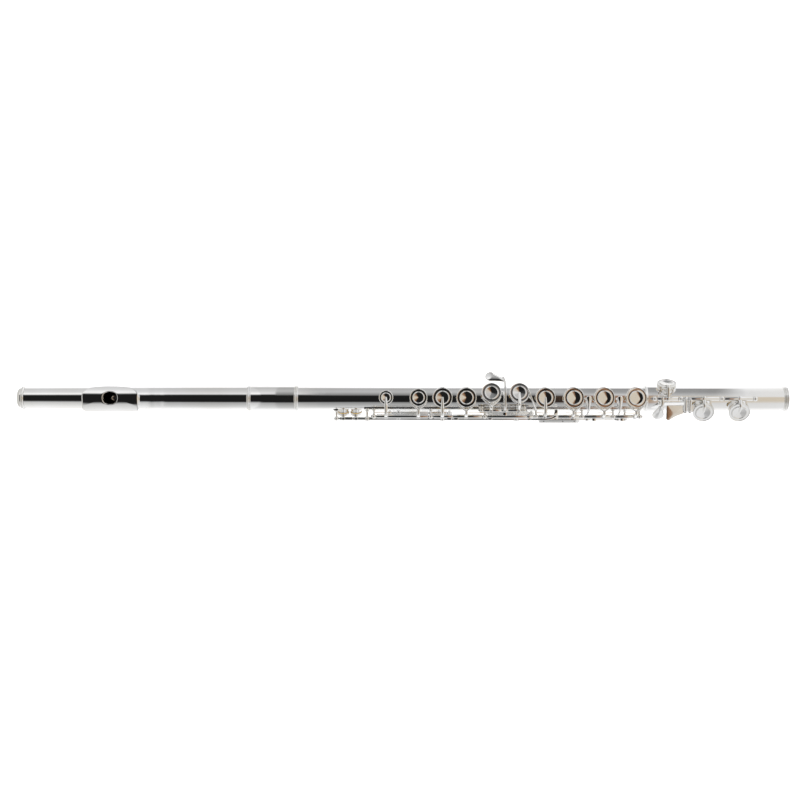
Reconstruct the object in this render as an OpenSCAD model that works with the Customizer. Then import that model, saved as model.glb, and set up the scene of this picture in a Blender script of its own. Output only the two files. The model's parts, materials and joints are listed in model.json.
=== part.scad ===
// Concert flute in three joints (head, body, foot), silver plated, with closed cups,
// an offset G and a C foot. Millimetres. X runs along the bore towards the foot's open end,
// +Z is the way the key cups face, and the origin is the centre of the foot's open end.

/* [Tube] */
// Overall length, crown to the foot's open end
flute_len = 670; // [660:1:680]
// Radius of the bore in body and foot
bore_r = 9.5; // [9.4:0.05:9.6]
// Thickness of the tube wall
wall = 0.4; // [0.35:0.05:0.45]
// How far the head's wall has drawn in by the crown
head_taper = 0.8; // [0.4:0.1:0.9]
// Height of the tone hole rims above the bore's axis
rim_z = 12.3; // [12.2:0.1:12.4]

/* [Keys] */
// Outer radius of the left hand cups
cup_r = 8.7; // [8.5:0.1:8.8]
// Outer radius of the right hand cups
right_cup_r = 9.0; // [8.8:0.1:9.1]
// Outer radius of the foot cups
foot_cup_r = 9.3; // [9.1:0.1:9.4]
// How far the open cups stand up, in degrees about their rod
open_deg = 8.2; // [6:0.2:8.6]
// Outer radius of a hinge tube
hinge_r = 1.75; // [1.7:0.05:1.8]
// Radius of the steel rods inside the hinge tubes
steel_r = 0.95; // [0.9:0.01:0.97]

/* [Lip plate] */
// Length of the lip plate along the tube
lip_len = 49; // [46:1:56]
// Height of the lip plate's top above the bore's axis
lip_top = 14.1; // [13.8:0.1:14.4]
// Length of the embouchure hole along the tube
hole_len = 12.7; // [12:0.1:13]
// Width of the embouchure hole across the tube
hole_wid = 11.5; // [10.5:0.1:12]

/* [Hidden] */
$fn = 64;

silver = "Silver";
steel_grey = "SlateGray";
pad_gold = "Goldenrod";

tube_r = bore_r + wall;
gap = 0.05;                          // running clearance on a radius
far = 2;                             // how far a cutter runs past what it cuts

// Joints between the three tubes
crown_x = -663.4;
tenon_x = -470;
head_end_x = -430;
barrel_end_x = -425.5;
foot_x = -124.5;
shoulder_x = -114.6;
barrel_r = tube_r + gap + 0.65;
sleeve_r = tube_r + 0.35;
socket_r = sleeve_r + gap + 0.6;

// Embouchure
lip_x = -587.5;
lip_centre_z = 0.9;
lip_wall = 0.8;
stopper_x = lip_x - 17.3;            // face of the stopper
cork_len = 12;
cork_plate = 1.2;
screw_r = 1.9;

// Rods: each is [y, z]
main_rod = [-15.6, 7.0];
g_rod = [-10.1, 9.4];
trill_rod = [-17.6, 0.5];
back_rod = [-12.8, -7.4];
foot_rod = [0, 14.4];

// Directions round the tube, in degrees from +Z towards +Y
main_dir = 8;
g_dir = 24;
back_dir = 180;
trill_dir = -115;
foot_open_dir = -48;
foot_far_dir = 64;

// Places of the cups along the tube
c_small_x = -349.2;
c_x = -321.2;
b_flat_x = -300.5;
a_x = -279.9;
g_x = -258.3;
lower_g_x = -234.2;
f_sharp_x = -211.8;
f_x = -187.3;
e_x = -161.0;
d_x = -133.4;
e_flat_x = -105.8;
low_c_sharp_x = -74.9;
low_c_x = -43.9;
d_sharp_trill_x = -386.4;
d_trill_x = -375.4;

// Sizes that several keys share
hole_r = 7.6;
right_hole_r = 7.9;
foot_hole_r = 8.2;
small_hole_r = 4.0;
small_cup_r = 6.2;
small_pad_r = 5.8;
index_cup_r = 7.7;
trill_hole_r = 3.9;
trill_cup_r = 5.2;
chimney = 0.38;                      // wall of a drawn tone hole
pad_inset = 0.35;                    // the cup's rim wall, outside the pad
pad_thick = 2.2;
pad_lift = 0.06;                     // air left under a closed pad
g_open_deg = 10;
thumb_open_deg = 8;
foot_open_deg = 13;
trill_tube_r = 1.6;
ball_r = 2.1;
post_r = 1.15;
rib_r = tube_r + 0.8;
ceiling_z = rim_z + pad_lift + pad_thick;
cup_top_z = rim_z + 3.3;

// Posts: each is [x, rod, radius of its bore]
steel_bore = steel_r + gap;
trill_bore = trill_tube_r + gap;
BODY_POSTS = [
    for (x = [-359.7, -310.4, -263.5, -219.1, -179.3, -152.3, -129.5]) [x, main_rod, steel_bore],
    for (x = [-266.6, -229.7]) [x, g_rod, steel_bore],
    for (x = [-392.4, -141.4]) [x, trill_rod, steel_bore],
    for (x = [-365.6, -300, -236, -184]) [x, trill_rod, trill_bore],
    for (x = [-346, -293.6, -262, -222]) [x, back_rod, steel_bore]
];
FOOT_POSTS = [for (x = [-117.3, -94.9, -59.4, -30.7]) [x, foot_rod, steel_bore]];

// Tone holes: each is [x, direction, radius]
BODY_HOLES = [
    [d_sharp_trill_x, trill_dir, trill_hole_r],
    [d_trill_x, trill_dir, trill_hole_r],
    [c_small_x, main_dir, small_hole_r],
    [c_x, back_dir, hole_r],
    [b_flat_x, main_dir, hole_r],
    [a_x, main_dir, hole_r],
    [g_x, g_dir, hole_r],
    [lower_g_x, g_dir, hole_r],
    [lower_g_x, back_dir, hole_r],
    [f_sharp_x, main_dir, hole_r],
    [f_x, main_dir, right_hole_r],
    [e_x, main_dir, right_hole_r],
    [d_x, main_dir, right_hole_r]
];
FOOT_HOLES = [
    [e_flat_x, foot_far_dir, hole_r],
    [low_c_sharp_x, foot_open_dir, foot_hole_r],
    [low_c_x, foot_open_dir, foot_hole_r]
];

// ---------- functions ----------

// A rod's place as seen from a cup that faces direction phi
function local(rod, phi) = [
    rod.x * cos(phi) - rod.y * sin(phi),
    rod.x * sin(phi) + rod.y * cos(phi)
];

// Angle of a rod round the tube, from +Z towards +Y
function rod_dir(rod) = atan2(rod.x, rod.y);

// Outer radius of the head tube
function head_r(x) =
    let (u = max(0, (-478 - x) / (-478 - crown_x))) tube_r - head_taper * pow(u, 1.4);

// Points along a quadratic curve from a to c, drawn towards b
function curve(a, b, c, n = 8) = [
    for (i = [0:n]) let (t = i / n) (1 - t) * (1 - t) * a + 2 * t * (1 - t) * b + t * t * c
];

// Unit normal of a path at its point i
function path_normal(p, i) =
    let (
        a = p[max(0, i - 1)],
        b = p[min(len(p) - 1, i + 1)],
        d = (b - a) / norm(b - a)
    ) [-d.y, d.x];

// Outline of a strip along path p whose half thickness goes from w0 to w1
function strip(p, w0, w1) =
    let (
        n = len(p) - 1,
        w = [for (i = [0:n]) w0 + (w1 - w0) * i / n]
    ) concat(
        [for (i = [0:n]) p[i] + w[i] * path_normal(p, i)],
        [for (i = [n:-1:0]) p[i] - w[i] * path_normal(p, i)]
    );

// Rounded oval, fuller than an ellipse
function oval(a, b, power = 2.6, n = 40) = [
    for (i = [0:n - 1]) let (t = 360 * i / n, c = cos(t), s = sin(t))
        [a * sign(c) * pow(abs(c), 2 / power), b * sign(s) * pow(abs(s), 2 / power)]
];

// ---------- shared shapes ----------

module along_x(x0, x1, r) {
    translate([x0, 0, 0]) rotate([0, 90, 0]) cylinder(h = x1 - x0, r = r);
}

module at_rod(rod) {
    translate([0, rod.x, rod.y]) children();
}

// Children are drawn with +Z pointing away from the tube in direction phi
module facing(x, phi) {
    translate([x, 0, 0]) rotate([-phi, 0, 0]) children();
}

// Turns a key that is drawn closed about its rod
module turned(rod, angle) {
    translate([0, rod.x, rod.y]) rotate([angle, 0, 0]) translate([0, -rod.x, -rod.y]) children();
}

// Extrudes an outline drawn in Y and Z between two planes of X
module slab_x(x0, x1, points) {
    translate([x0, 0, 0]) rotate([90, 0, 90]) linear_extrude(height = x1 - x0) polygon(points);
}

module hinge(rod, x0, x1, r = hinge_r) {
    at_rod(rod) difference() {
        along_x(x0, x1, r);
        along_x(x0 - far, x1 + far, steel_r + gap);
    }
}

// Keeps an arm out of the bore of its own hinge tube
module clear_bore(rod, x0, x1) {
    difference() {
        children();
        at_rod(rod) along_x(x0 - far, x1 + far, steel_r + gap);
    }
}

module tone_hole_walls(holes) {
    for (h = holes) facing(h[0], h[1]) cylinder(h = rim_z, r = h[2] + chimney);
}

module tone_hole_bores(holes) {
    for (h = holes) facing(h[0], h[1]) cylinder(h = rim_z + far, r = h[2]);
}

// Ring of revolution round X, from an outline of [x, r] points
module turned_ring(points) {
    rotate([0, 90, 0]) rotate_extrude() polygon([for (p = points) [p[1], p[0]]]);
}

module bead_ring(x0, x1, r_in, r_base, r_bead) {
    w = (x1 - x0) / 2;
    turned_ring([
        [x0, r_in], [x0, r_base],
        for (a = [180:-30:0]) [x0 + w + w * cos(a), r_base + (r_bead - r_base) * sin(a)],
        [x1, r_in]
    ]);
}

module cup(x, phi, r) {
    facing(x, phi) rotate_extrude() polygon([
        [0, ceiling_z],
        [r - pad_inset, ceiling_z],
        [r - pad_inset, rim_z + 0.4],
        [r, rim_z + 0.4],
        [r, rim_z + 2.1],
        [r - 0.2, rim_z + 2.6],
        [r - 0.7, rim_z + 2.95],
        [r - 1.5, cup_top_z - 0.4],
        [r - 1.9, cup_top_z],
        [r - 2.5, cup_top_z],
        [r - 3.0, cup_top_z - 0.25],
        [0, cup_top_z - 0.45]
    ]);
}

module pad(x, phi, r) {
    color(pad_gold) facing(x, phi) translate([0, 0, rim_z + pad_lift])
        cylinder(h = pad_thick, r = r - pad_inset - 0.03);
}

// Arm that runs from the rod over the cup and ends in a point at its centre
module pointed_arm(x, phi, r, rod) {
    p = local(rod, phi);
    top = cup_top_z + 0.1;
    spine = concat(
        curve([p.x, p.y + 1.2], [p.x + 0.6, top + 0.8], [-r + 0.6, top + 0.15]),
        [[-r * 0.45, top - 0.05], [0.4, top - 0.4]]
    );
    facing(x, phi) intersection() {
        slab_x(-2, 2, strip(spine, 0.85, 0.3));
        linear_extrude(height = 40, center = true)
            polygon([[-1.5, p.x - 2], [1.5, p.x - 2], [1.3, -r], [0.25, 0.6], [-0.25, 0.6], [-1.3, -r]]);
    }
}

// Arm that forks into two prongs at the cup's rim
module forked_arm(x, phi, r, rod, wide = 1.35) {
    p = local(rod, phi);
    mid = rim_z + 1.5;
    stem_y = -r - 3.4;
    facing(x, phi) {
        slab_x(-wide, wide, strip(
            curve([p.x, p.y + 1.2], [p.x + 0.3, mid], [stem_y + 0.5, mid]), 0.85, 0.7));
        translate([0, 0, mid - 0.7]) linear_extrude(height = 1.4) difference() {
            union() for (s = [-1, 1]) polygon([
                [0, stem_y - 0.2],
                [s * wide, stem_y - 0.2],
                [s * wide * 1.25, stem_y + 0.9],
                [s * r * sin(48), -r * cos(48) - 0.3],
                [s * (r - 0.2) * sin(56), -(r - 0.2) * cos(56)],
                [s * (r - 0.3) * sin(26), -(r - 0.3) * cos(26)],
                [0, stem_y + 1.3]
            ]);
            circle(r = r - 0.15);
        }
    }
}

// Teardrop plate in X and Y with its tail towards -Y
module teardrop(len, r, tail, thick) {
    linear_extrude(height = thick) {
        circle(r = r);
        polygon([[-r * 0.97, -r * 0.24], [r * 0.97, -r * 0.24], [tail, r - len], [-tail, r - len]]);
    }
}

// Small foot on a hinge tube that pushes a neighbour or rests on a cork
module lug(rod, x0, x1, angle, reach = 3.4) {
    at_rod(rod) rotate([angle, 0, 0]) translate([x0, hinge_r - 0.4, -0.5]) cube([x1 - x0, reach, 1]);
}

// Ball-headed post, turned in one piece about its own axis and then bored for the rod
module posts(list, base_r = rib_r) {
    for (p = list) {
        rod = p[1];
        reach = norm(rod);
        ball = max(ball_r, p[2] + 0.7);
        neck = asin(post_r / ball);
        difference() {
            facing(p[0], rod_dir(rod)) rotate_extrude() polygon(concat(
                [[0, 0], [post_r, 0]],
                [for (i = [0:7]) let (a = 180 - neck + (neck - 180) * i / 7)
                    [ball * sin(a), reach + ball * cos(a)]]));
            at_rod(rod) along_x(p[0] - 3, p[0] + 3, p[2]);
            along_x(p[0] - 3, p[0] + 3, base_r);
        }
    }
}

// Part of a shell round the tube, between directions a and b
module saddle(x0, x1, a, b) {
    steps = 8;
    out = 2 * tube_r;
    intersection() {
        difference() {
            along_x(x0, x1, rib_r);
            along_x(x0 - far, x1 + far, tube_r);
        }
        slab_x(x0, x1, concat(
            [[0, 0]], [for (i = [0:steps]) let (t = a + (b - a) * i / steps) out * [sin(t), cos(t)]]));
    }
}

// ---------- head joint ----------

module head_tube() {
    steps = 12;
    xs = [for (i = [0:steps]) crown_x + (-478 - crown_x) * i / steps];
    color(silver) difference() {
        turned_ring(concat(
            [for (x = xs) [x, head_r(x)]], [[head_end_x, tube_r], [head_end_x, bore_r]],
            [for (i = [steps:-1:0]) [xs[i], head_r(xs[i]) - wall]]));
        translate([lip_x, 0, 0]) linear_extrude(height = 20) polygon(oval(hole_len / 2, hole_wid / 2));
    }
}

module lip_plate() {
    out_r = lip_top - lip_centre_z;
    color(silver) difference() {
        intersection() {
            translate([0, 0, lip_centre_z]) along_x(lip_x - lip_len, lip_x + lip_len, out_r);
            translate([lip_x, -0.6, 4.6]) linear_extrude(height = 20)
                polygon(oval(lip_len / 2, 11.8, 3.4, 48));
        }
        translate([0, 0, lip_centre_z]) along_x(lip_x - lip_len, lip_x + lip_len, out_r - lip_wall);
        translate([lip_x, 0, 0]) linear_extrude(height = 30) polygon(oval(hole_len / 2, hole_wid / 2));
    }
}

module embouchure_riser() {
    rim = 1.2;
    color(silver) difference() {
        intersection() {
            translate([lip_x, 0, 0]) linear_extrude(height = 20)
                polygon(oval(hole_len / 2 + rim, hole_wid / 2 + rim));
            translate([0, 0, lip_centre_z])
                along_x(lip_x - 20, lip_x + 20, lip_top - lip_centre_z - lip_wall);
        }
        translate([lip_x, 0, -1]) linear_extrude(height = 30) polygon(oval(hole_len / 2, hole_wid / 2));
        turned_ring([for (x = [-20, 20]) [lip_x + x, head_r(lip_x + x)], [lip_x + 20, 0], [lip_x - 20, 0]]);
    }
}

module crown() {
    r = head_r(crown_x);
    color(silver) difference() {
        turned_ring([
            [-flute_len, 0], [-flute_len, r - 4], [-flute_len + 0.6, r - 1.8], [-flute_len + 1.8, r - 0.3],
            [-flute_len + 3, r], [crown_x - 2.3, r], [crown_x - 2.1, r + 0.9], [crown_x - 1.6, r + 1.3],
            [crown_x - 1.0, r + 1.3], [crown_x - 0.5, r + 0.9], [crown_x - 0.1, r],
            [crown_x - 0.1, r - wall - 0.15], [crown_x + 4, r - wall - 0.15], [crown_x + 4, 0]
        ]);
        along_x(-flute_len + 3, crown_x + 5, screw_r + 0.1);
    }
}

module stopper_screw() {
    r = head_r(stopper_x) - wall - 0.15;
    color(silver) {
        along_x(stopper_x - cork_plate, stopper_x, r);
        along_x(stopper_x - cork_len - 2 * cork_plate, stopper_x - cork_len - cork_plate, r - 0.1);
        along_x(-flute_len + 5, stopper_x, screw_r);
    }
}

module stopper_cork() {
    r = head_r(stopper_x - cork_len) - wall - 0.08;
    color("BurlyWood") difference() {
        along_x(stopper_x - cork_len - cork_plate, stopper_x - cork_plate, r);
        along_x(stopper_x - cork_len - 5, stopper_x, screw_r);
    }
}

// ---------- body joint ----------

module body_tube() {
    color(silver) difference() {
        union() {
            along_x(head_end_x + 0.3, shoulder_x - 0.3, tube_r);
            tone_hole_walls(BODY_HOLES);
        }
        along_x(head_end_x - far, shoulder_x + far, bore_r);
        tone_hole_bores(BODY_HOLES);
    }
}

module barrel() {
    color(silver) turned_ring([
        [tenon_x + 2.4, tube_r + gap], [tenon_x + 2.4, barrel_r],
        [barrel_end_x - 2.4, barrel_r], [barrel_end_x - 2.4, tube_r],
        [head_end_x + 0.3, tube_r], [head_end_x + 0.3, tube_r + gap]
    ]);
}

module barrel_rings() {
    color(silver) {
        bead_ring(tenon_x, tenon_x + 1.2, tube_r + gap, barrel_r, barrel_r + 0.7);
        bead_ring(tenon_x + 1.2, tenon_x + 2.4, tube_r + gap, barrel_r, barrel_r + 0.9);
        bead_ring(barrel_end_x - 2.4, barrel_end_x - 1.2, tube_r, barrel_r, barrel_r + 0.9);
        bead_ring(barrel_end_x - 1.2, barrel_end_x, tube_r, barrel_r, barrel_r + 0.7);
    }
}

module tenon_sleeve() {
    color(silver) difference() {
        along_x(foot_x + 0.1, shoulder_x - 0.3, sleeve_r);
        along_x(foot_x - far, shoulder_x + far, tube_r);
    }
}

module key_ribs() {
    color(silver) {
        saddle(-368.2, -127.3, -95.6, -54.6);
        saddle(-395, -390.8, -99, -82);
        for (x = [-266.6, -229.7]) saddle(x - 2.2, x + 2.2, -53.8, -40);
        for (x = [[-348.4, -343.6], [-296, -291.2], [-264.4, -259.6], [-224.4, -219.6]])
            saddle(x[0], x[1], -132, -108);
    }
}

module body_posts() {
    color(silver) posts(BODY_POSTS);
}

module left_hand_steel() {
    color(steel_grey) at_rod(main_rod) along_x(-361.5, -263.6, steel_r);
}

module right_hand_steel() {
    color(steel_grey) at_rod(main_rod) along_x(-263.4, -127.7, steel_r);
}

module g_steel() {
    color(steel_grey) at_rod(g_rod) along_x(-268.4, -227.9, steel_r);
}

module back_steels() {
    color(steel_grey) at_rod(back_rod) {
        along_x(-347.8, -291.8, steel_r);
        along_x(-263.8, -220.2, steel_r);
    }
}

// Spring along the tube from a post, at the height of the post's neck
module spring(x, rod, length, reach = 13.3) {
    u = rod / norm(rod);
    x1 = x + sign(length) * post_r;
    translate([0, reach * u.x, reach * u.y])
        along_x(min(x1, x + length), max(x1, x + length), 0.28);
}

module needle_springs() {
    color("DarkGoldenrod") {
        spring(-359.7, main_rod, 15);
        spring(-310.4, main_rod, 13);
        spring(-263.5, main_rod, -14);
        spring(-219.1, main_rod, 13);
        spring(-179.3, main_rod, -14);
        spring(-152.3, main_rod, -14);
        spring(-129.5, main_rod, -13);
    }
}

// ---------- left hand keys ----------

module c_key() {
    color(silver) turned(main_rod, open_deg) {
        hinge(main_rod, -357.4, -312.8);
        clear_bore(main_rod, -357.4, -312.8) {
            pointed_arm(c_small_x, main_dir, small_cup_r, main_rod);
            forked_arm(c_x, main_dir, index_cup_r, main_rod);
            lug(main_rod, -340, -337, 200, 2.0);
        }
        cup(c_small_x, main_dir, small_cup_r);
        cup(c_x, main_dir, index_cup_r);
    }
}

module c_pad() {
    turned(main_rod, open_deg) pad(c_small_x, main_dir, small_cup_r);
}

module b_flat_key() {
    color(silver) turned(main_rod, open_deg) {
        hinge(main_rod, -308, -291.4);
        clear_bore(main_rod, -308, -291.4) {
            pointed_arm(b_flat_x, main_dir, cup_r, main_rod);
            lug(main_rod, -296.5, -292, 160, 1.5);
        }
        cup(b_flat_x, main_dir, cup_r);
    }
}

module b_flat_pad() {
    turned(main_rod, open_deg) pad(b_flat_x, main_dir, cup_r);
}

module a_key() {
    color(silver) turned(main_rod, open_deg) {
        hinge(main_rod, -291.1, -265.9);
        clear_bore(main_rod, -291.1, -265.9) {
            forked_arm(a_x, main_dir, cup_r, main_rod);
            lug(main_rod, -290.6, -286.4, 160, 1.5);
        }
        cup(a_x, main_dir, cup_r);
    }
}

module a_pad() {
    turned(main_rod, open_deg) pad(a_x, main_dir, cup_r);
}

module g_key() {
    color(silver) turned(g_rod, g_open_deg) {
        hinge(g_rod, -264.2, -249.3);
        clear_bore(g_rod, -264.2, -249.3) forked_arm(g_x, g_dir, cup_r, g_rod, 1.2);
        cup(g_x, g_dir, cup_r);
    }
}

module g_pad() {
    turned(g_rod, g_open_deg) pad(g_x, g_dir, cup_r);
}

// The lower G cup carries the long curved arm that the E key's mechanism pushes
module lower_g_key() {
    color(silver) turned(g_rod, g_open_deg) {
        hinge(g_rod, -243.4, -232.1);
        clear_bore(g_rod, -243.4, -232.1) pointed_arm(lower_g_x, g_dir, cup_r, g_rod);
        translate([-223, -0.5, 0]) rotate([0, 0, 21.6])
            slab_x(-0.7, 0.7, strip(curve([9.9, 13.5], [-1, 16.4], [-10.4, 9.8], 10), 0.7, 0.6));
        cup(lower_g_x, g_dir, cup_r);
    }
}

module lower_g_pad() {
    turned(g_rod, g_open_deg) pad(lower_g_x, g_dir, cup_r);
}

// Little finger touch on the far side, on an arm that crosses the tube
module g_sharp_lever() {
    x = -246.3;
    color(silver) {
        hinge(g_rod, -249, -243.7);
        clear_bore(g_rod, -249, -243.7) {
            slab_x(x - 0.95, x + 0.95, strip(
                curve([g_rod.x, g_rod.y + 1.3], [-6.5, 17.5], [9, 14.8], 10), 0.8, 0.8));
            slab_x(x - 0.95, x + 0.95, strip(curve([9, 14.8], [14.5, 13.6], [18.2, 10.4], 6), 0.8, 0.6));
            lug(g_rod, -248, -244.6, 187, 3);
        }
        translate([-259, 19.4, 9.6]) rotate([-34, 0, 0]) rotate([0, 0, 72]) translate([0, 0, -0.6])
            teardrop(18, 4.4, 1.4, 1.2);
    }
}

// Closed cup on the back of the tube
module g_sharp_key() {
    color(silver) {
        hinge(back_rod, -259.6, -224.4);
        clear_bore(back_rod, -259.6, -224.4) {
            back_arm(lower_g_x);
            lug(back_rod, -248, -244.6, 150, 3);
        }
        cup(lower_g_x, back_dir, cup_r);
    }
}

module g_sharp_pad() {
    pad(lower_g_x, back_dir, cup_r);
}

// Arm from the back rod to the side of a cup under the tube
module back_arm(x) {
    mid = -rim_z - 1.5;
    slab_x(x - 1.5, x + 1.5, strip(
        curve([back_rod.x, back_rod.y - 1.2], [-12.6, mid + 0.4], [-cup_r + 0.2, mid]), 0.8, 0.7));
}

module thumb_b_key() {
    color(silver) turned(back_rod, -thumb_open_deg) {
        hinge(back_rod, -343.7, -312);
        clear_bore(back_rod, -343.7, -312) {
            back_arm(c_x);
            slab_x(-340.2, -336.8, strip(
                curve([back_rod.x, back_rod.y - 1.2], [-11, -15.5], [-2.5, -14.8]), 0.8, 0.6));
        }
        translate([-338.5, 1.5, -15.4]) teardrop(12, 5.6, 2.6, 1.2);
        cup(c_x, back_dir, cup_r);
    }
}

module thumb_b_pad() {
    turned(back_rod, -thumb_open_deg) pad(c_x, back_dir, cup_r);
}

module thumb_b_flat_lever() {
    color(silver) turned(back_rod, -thumb_open_deg) {
        hinge(back_rod, -311.7, -295.9);
        clear_bore(back_rod, -311.7, -295.9)
            slab_x(-304.6, -301.2, strip(
                curve([back_rod.x, back_rod.y - 1.2], [-11, -15.5], [-2.5, -14.8]), 0.8, 0.6));
        translate([-302.9, 0.6, -15.4]) teardrop(11, 5, 2.6, 1.2);
    }
}

// ---------- right hand keys ----------

// The F sharp key carries a bar behind its hinge that the other right hand keys lift
module f_sharp_key() {
    color(silver) turned(main_rod, open_deg) {
        hinge(main_rod, -216.8, -200);
        clear_bore(main_rod, -216.8, -200) {
            pointed_arm(f_sharp_x, main_dir, cup_r, main_rod);
            for (x = [-215.5, -204]) at_rod(main_rod) translate([x, -3, -0.5]) cube([3, 2, 1]);
        }
        at_rod(main_rod) difference() {
            translate([-216.5, -5.6, -0.5]) cube([34.5, 3.4, 1]);
            for (x = [-213, -196, -186]) translate([x, -4, -1]) cylinder(h = 2, r = 0.6, $fn = 24);
        }
        cup(f_sharp_x, main_dir, cup_r);
    }
}

module f_sharp_pad() {
    turned(main_rod, open_deg) pad(f_sharp_x, main_dir, cup_r);
}

module f_key() {
    color(silver) turned(main_rod, open_deg) {
        hinge(main_rod, -199.7, -181.6);
        clear_bore(main_rod, -199.7, -181.6) {
            forked_arm(f_x, main_dir, right_cup_r, main_rod);
            at_rod(main_rod) translate([-194.5, -4.6, -1.7]) cube([3, 4, 0.9]);
        }
        cup(f_x, main_dir, right_cup_r);
    }
}

module f_pad() {
    turned(main_rod, open_deg) pad(f_x, main_dir, right_cup_r);
}

module e_key() {
    color(silver) turned(main_rod, open_deg) {
        hinge(main_rod, -177, -154.6);
        clear_bore(main_rod, -177, -154.6) {
            forked_arm(e_x, main_dir, right_cup_r, main_rod);
            lug(main_rod, -170.5, -167, 175, 2.2);
        }
        cup(e_x, main_dir, right_cup_r);
    }
}

module e_pad() {
    turned(main_rod, open_deg) pad(e_x, main_dir, right_cup_r);
}

module d_key() {
    color(silver) turned(main_rod, open_deg) {
        hinge(main_rod, -150, -131.8);
        clear_bore(main_rod, -150, -131.8) {
            forked_arm(d_x, main_dir, right_cup_r, main_rod);
            lug(main_rod, -146, -142.5, 175, 2.2);
        }
        cup(d_x, main_dir, right_cup_r);
    }
}

module d_pad() {
    turned(main_rod, open_deg) pad(d_x, main_dir, right_cup_r);
}

// Side lever beside the F sharp key, on a long hinge tube that reaches the left hand
module b_flat_side_lever() {
    color(silver) {
        hinge(main_rod, -261.2, -221.4);
        clear_bore(main_rod, -261.2, -221.4) {
            slab_x(-227, -224, strip(curve([-15.7, 8], [-16.6, 9.6], [-18, 11.2], 4), 0.7, 0.6));
            lug(main_rod, -260.8, -257, 165, 1.5);
        }
        translate([-227, -18.6, 10.6]) cube([21.5, 1.6, 1.2]);
        translate([-206.4, -17.8, 10.6]) linear_extrude(height = 1.2)
            polygon(strip(curve([0, 0], [4.6, 0.6], [5, 8.6], 8), 0.8, 2));
    }
}

// ---------- trill keys ----------

// Cup, arm and touch of a trill key; the touch lies between two finger cups
module trill_parts(cup_x, touch_x) {
    p = local(trill_rod, trill_dir);
    mid = rim_z + 1.4;
    cup(cup_x, trill_dir, trill_cup_r);
    facing(cup_x, trill_dir) slab_x(-1.1, 1.1, strip(
        curve([p.x, p.y - 0.9], [p.x + 1, mid + 0.4], [trill_cup_r - 0.3, mid]), 0.7, 0.6));
    slab_x(touch_x - 1.1, touch_x + 1.1, strip(
        curve([trill_rod.x + 0.6, trill_rod.y + 0.9], [-12.2, 4.6], [-9.4, 13.8], 10), 0.7, 0.6));
    translate([touch_x, -0.4, 15.6]) rotate([12, 0, 0]) translate([0, 0, -1.2])
        teardrop(12.4, 2.7, 1.2, 1.2);
}

module d_trill_key() {
    color(silver) {
        hinge(trill_rod, -378, -171.8, trill_tube_r);
        clear_bore(trill_rod, -378, -171.8) trill_parts(d_trill_x, -174.2);
    }
}

module d_trill_pad() {
    pad(d_trill_x, trill_dir, trill_cup_r);
}

// This key turns on its own steel, which runs inside the D trill tube
module d_sharp_trill_key() {
    color(silver) {
        at_rod(trill_rod) {
            along_x(-394.2, -139.6, steel_r);
            along_x(-389.6, -378.4, trill_tube_r);
            along_x(-150.2, -144.2, trill_tube_r);
        }
        trill_parts(d_sharp_trill_x, -147.2);
    }
}

module d_sharp_trill_pad() {
    pad(d_sharp_trill_x, trill_dir, trill_cup_r);
}

// ---------- foot joint ----------

module foot_tube() {
    color(silver) difference() {
        union() {
            along_x(shoulder_x, 0, tube_r);
            tone_hole_walls(FOOT_HOLES);
        }
        along_x(shoulder_x - far, far, bore_r);
        tone_hole_bores(FOOT_HOLES);
    }
}

module foot_socket() {
    out = socket_r;
    color(silver) difference() {
        turned_ring([
            [foot_x, sleeve_r + gap], [foot_x, out], [foot_x + 0.3, out + 0.5], [foot_x + 1.1, out + 0.75],
            [foot_x + 1.9, out + 0.5], [foot_x + 2.2, out], [shoulder_x + 1, out], [shoulder_x + 1.6, out - 0.4],
            [shoulder_x + 1.6, tube_r], [shoulder_x, tube_r], [shoulder_x, sleeve_r + gap]
        ]);
        facing(e_flat_x, foot_far_dir) cylinder(h = 20, r = hole_r + chimney);
    }
}

module foot_end_ring() {
    color(silver) {
        bead_ring(-4.2, -2.4, tube_r, tube_r + 0.35, tube_r + 1.0);
        bead_ring(-2.4, 0, tube_r, tube_r + 0.35, tube_r + 1.3);
    }
}

module foot_posts() {
    color(silver) {
        posts([FOOT_POSTS[0]], socket_r);
        for (i = [1:3]) {
            posts([FOOT_POSTS[i]]);
            saddle(FOOT_POSTS[i][0] - 2.6, FOOT_POSTS[i][0] + 2.6, -14, 14);
        }
    }
}

module foot_steel() {
    color(steel_grey) at_rod(foot_rod) along_x(-119.1, -95, steel_r);
}

module foot_springs() {
    color("DarkGoldenrod") {
        spring(-94.9, foot_rod, -9, 11.7);
        spring(-59.4, foot_rod, -6, 11.7);
        spring(-30.7, foot_rod, -4, 11.7);
    }
}

// Arm on top of the foot from the rod to a cup on one side
module foot_arm(x, phi, r) {
    s = sign(phi);
    p = local(foot_rod, phi);
    top = cup_top_z;
    facing(x, phi) intersection() {
        slab_x(-1.3, 1.3, strip(
            [[p.x, p.y + 1.3], [p.x + s * 1.2, top - 0.4], [p.x + s * 3.6, top + 0.4], [0, top + 0.2]],
            0.8, 0.4));
        linear_extrude(height = 40) polygon([
            [-1.3, -s * 14], [1.3, -s * 14], [1.1, -s * 4], [0.3, s * 0.6], [-0.3, s * 0.6], [-1.1, -s * 4]]);
    }
}

module e_flat_key() {
    color(silver) {
        hinge(foot_rod, -114.8, -97.3);
        clear_bore(foot_rod, -114.8, -97.3) {
            foot_arm(e_flat_x, foot_far_dir, cup_r);
            slab_x(-112.2, -109.6, strip(
                curve([-1.2, 14.8], [-6, 15.8], [-10.5, 12.2], 8), 0.8, 0.7));
        }
        cup(e_flat_x, foot_far_dir, cup_r);
        translate([-113.6, -14.2, 9.2]) rotate([42, 0, 0]) rotate([0, 0, 160]) translate([0, 0, -0.6])
            teardrop(16, 4.6, 1.6, 1.3);
    }
}

module e_flat_pad() {
    pad(e_flat_x, foot_far_dir, cup_r);
}

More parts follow.
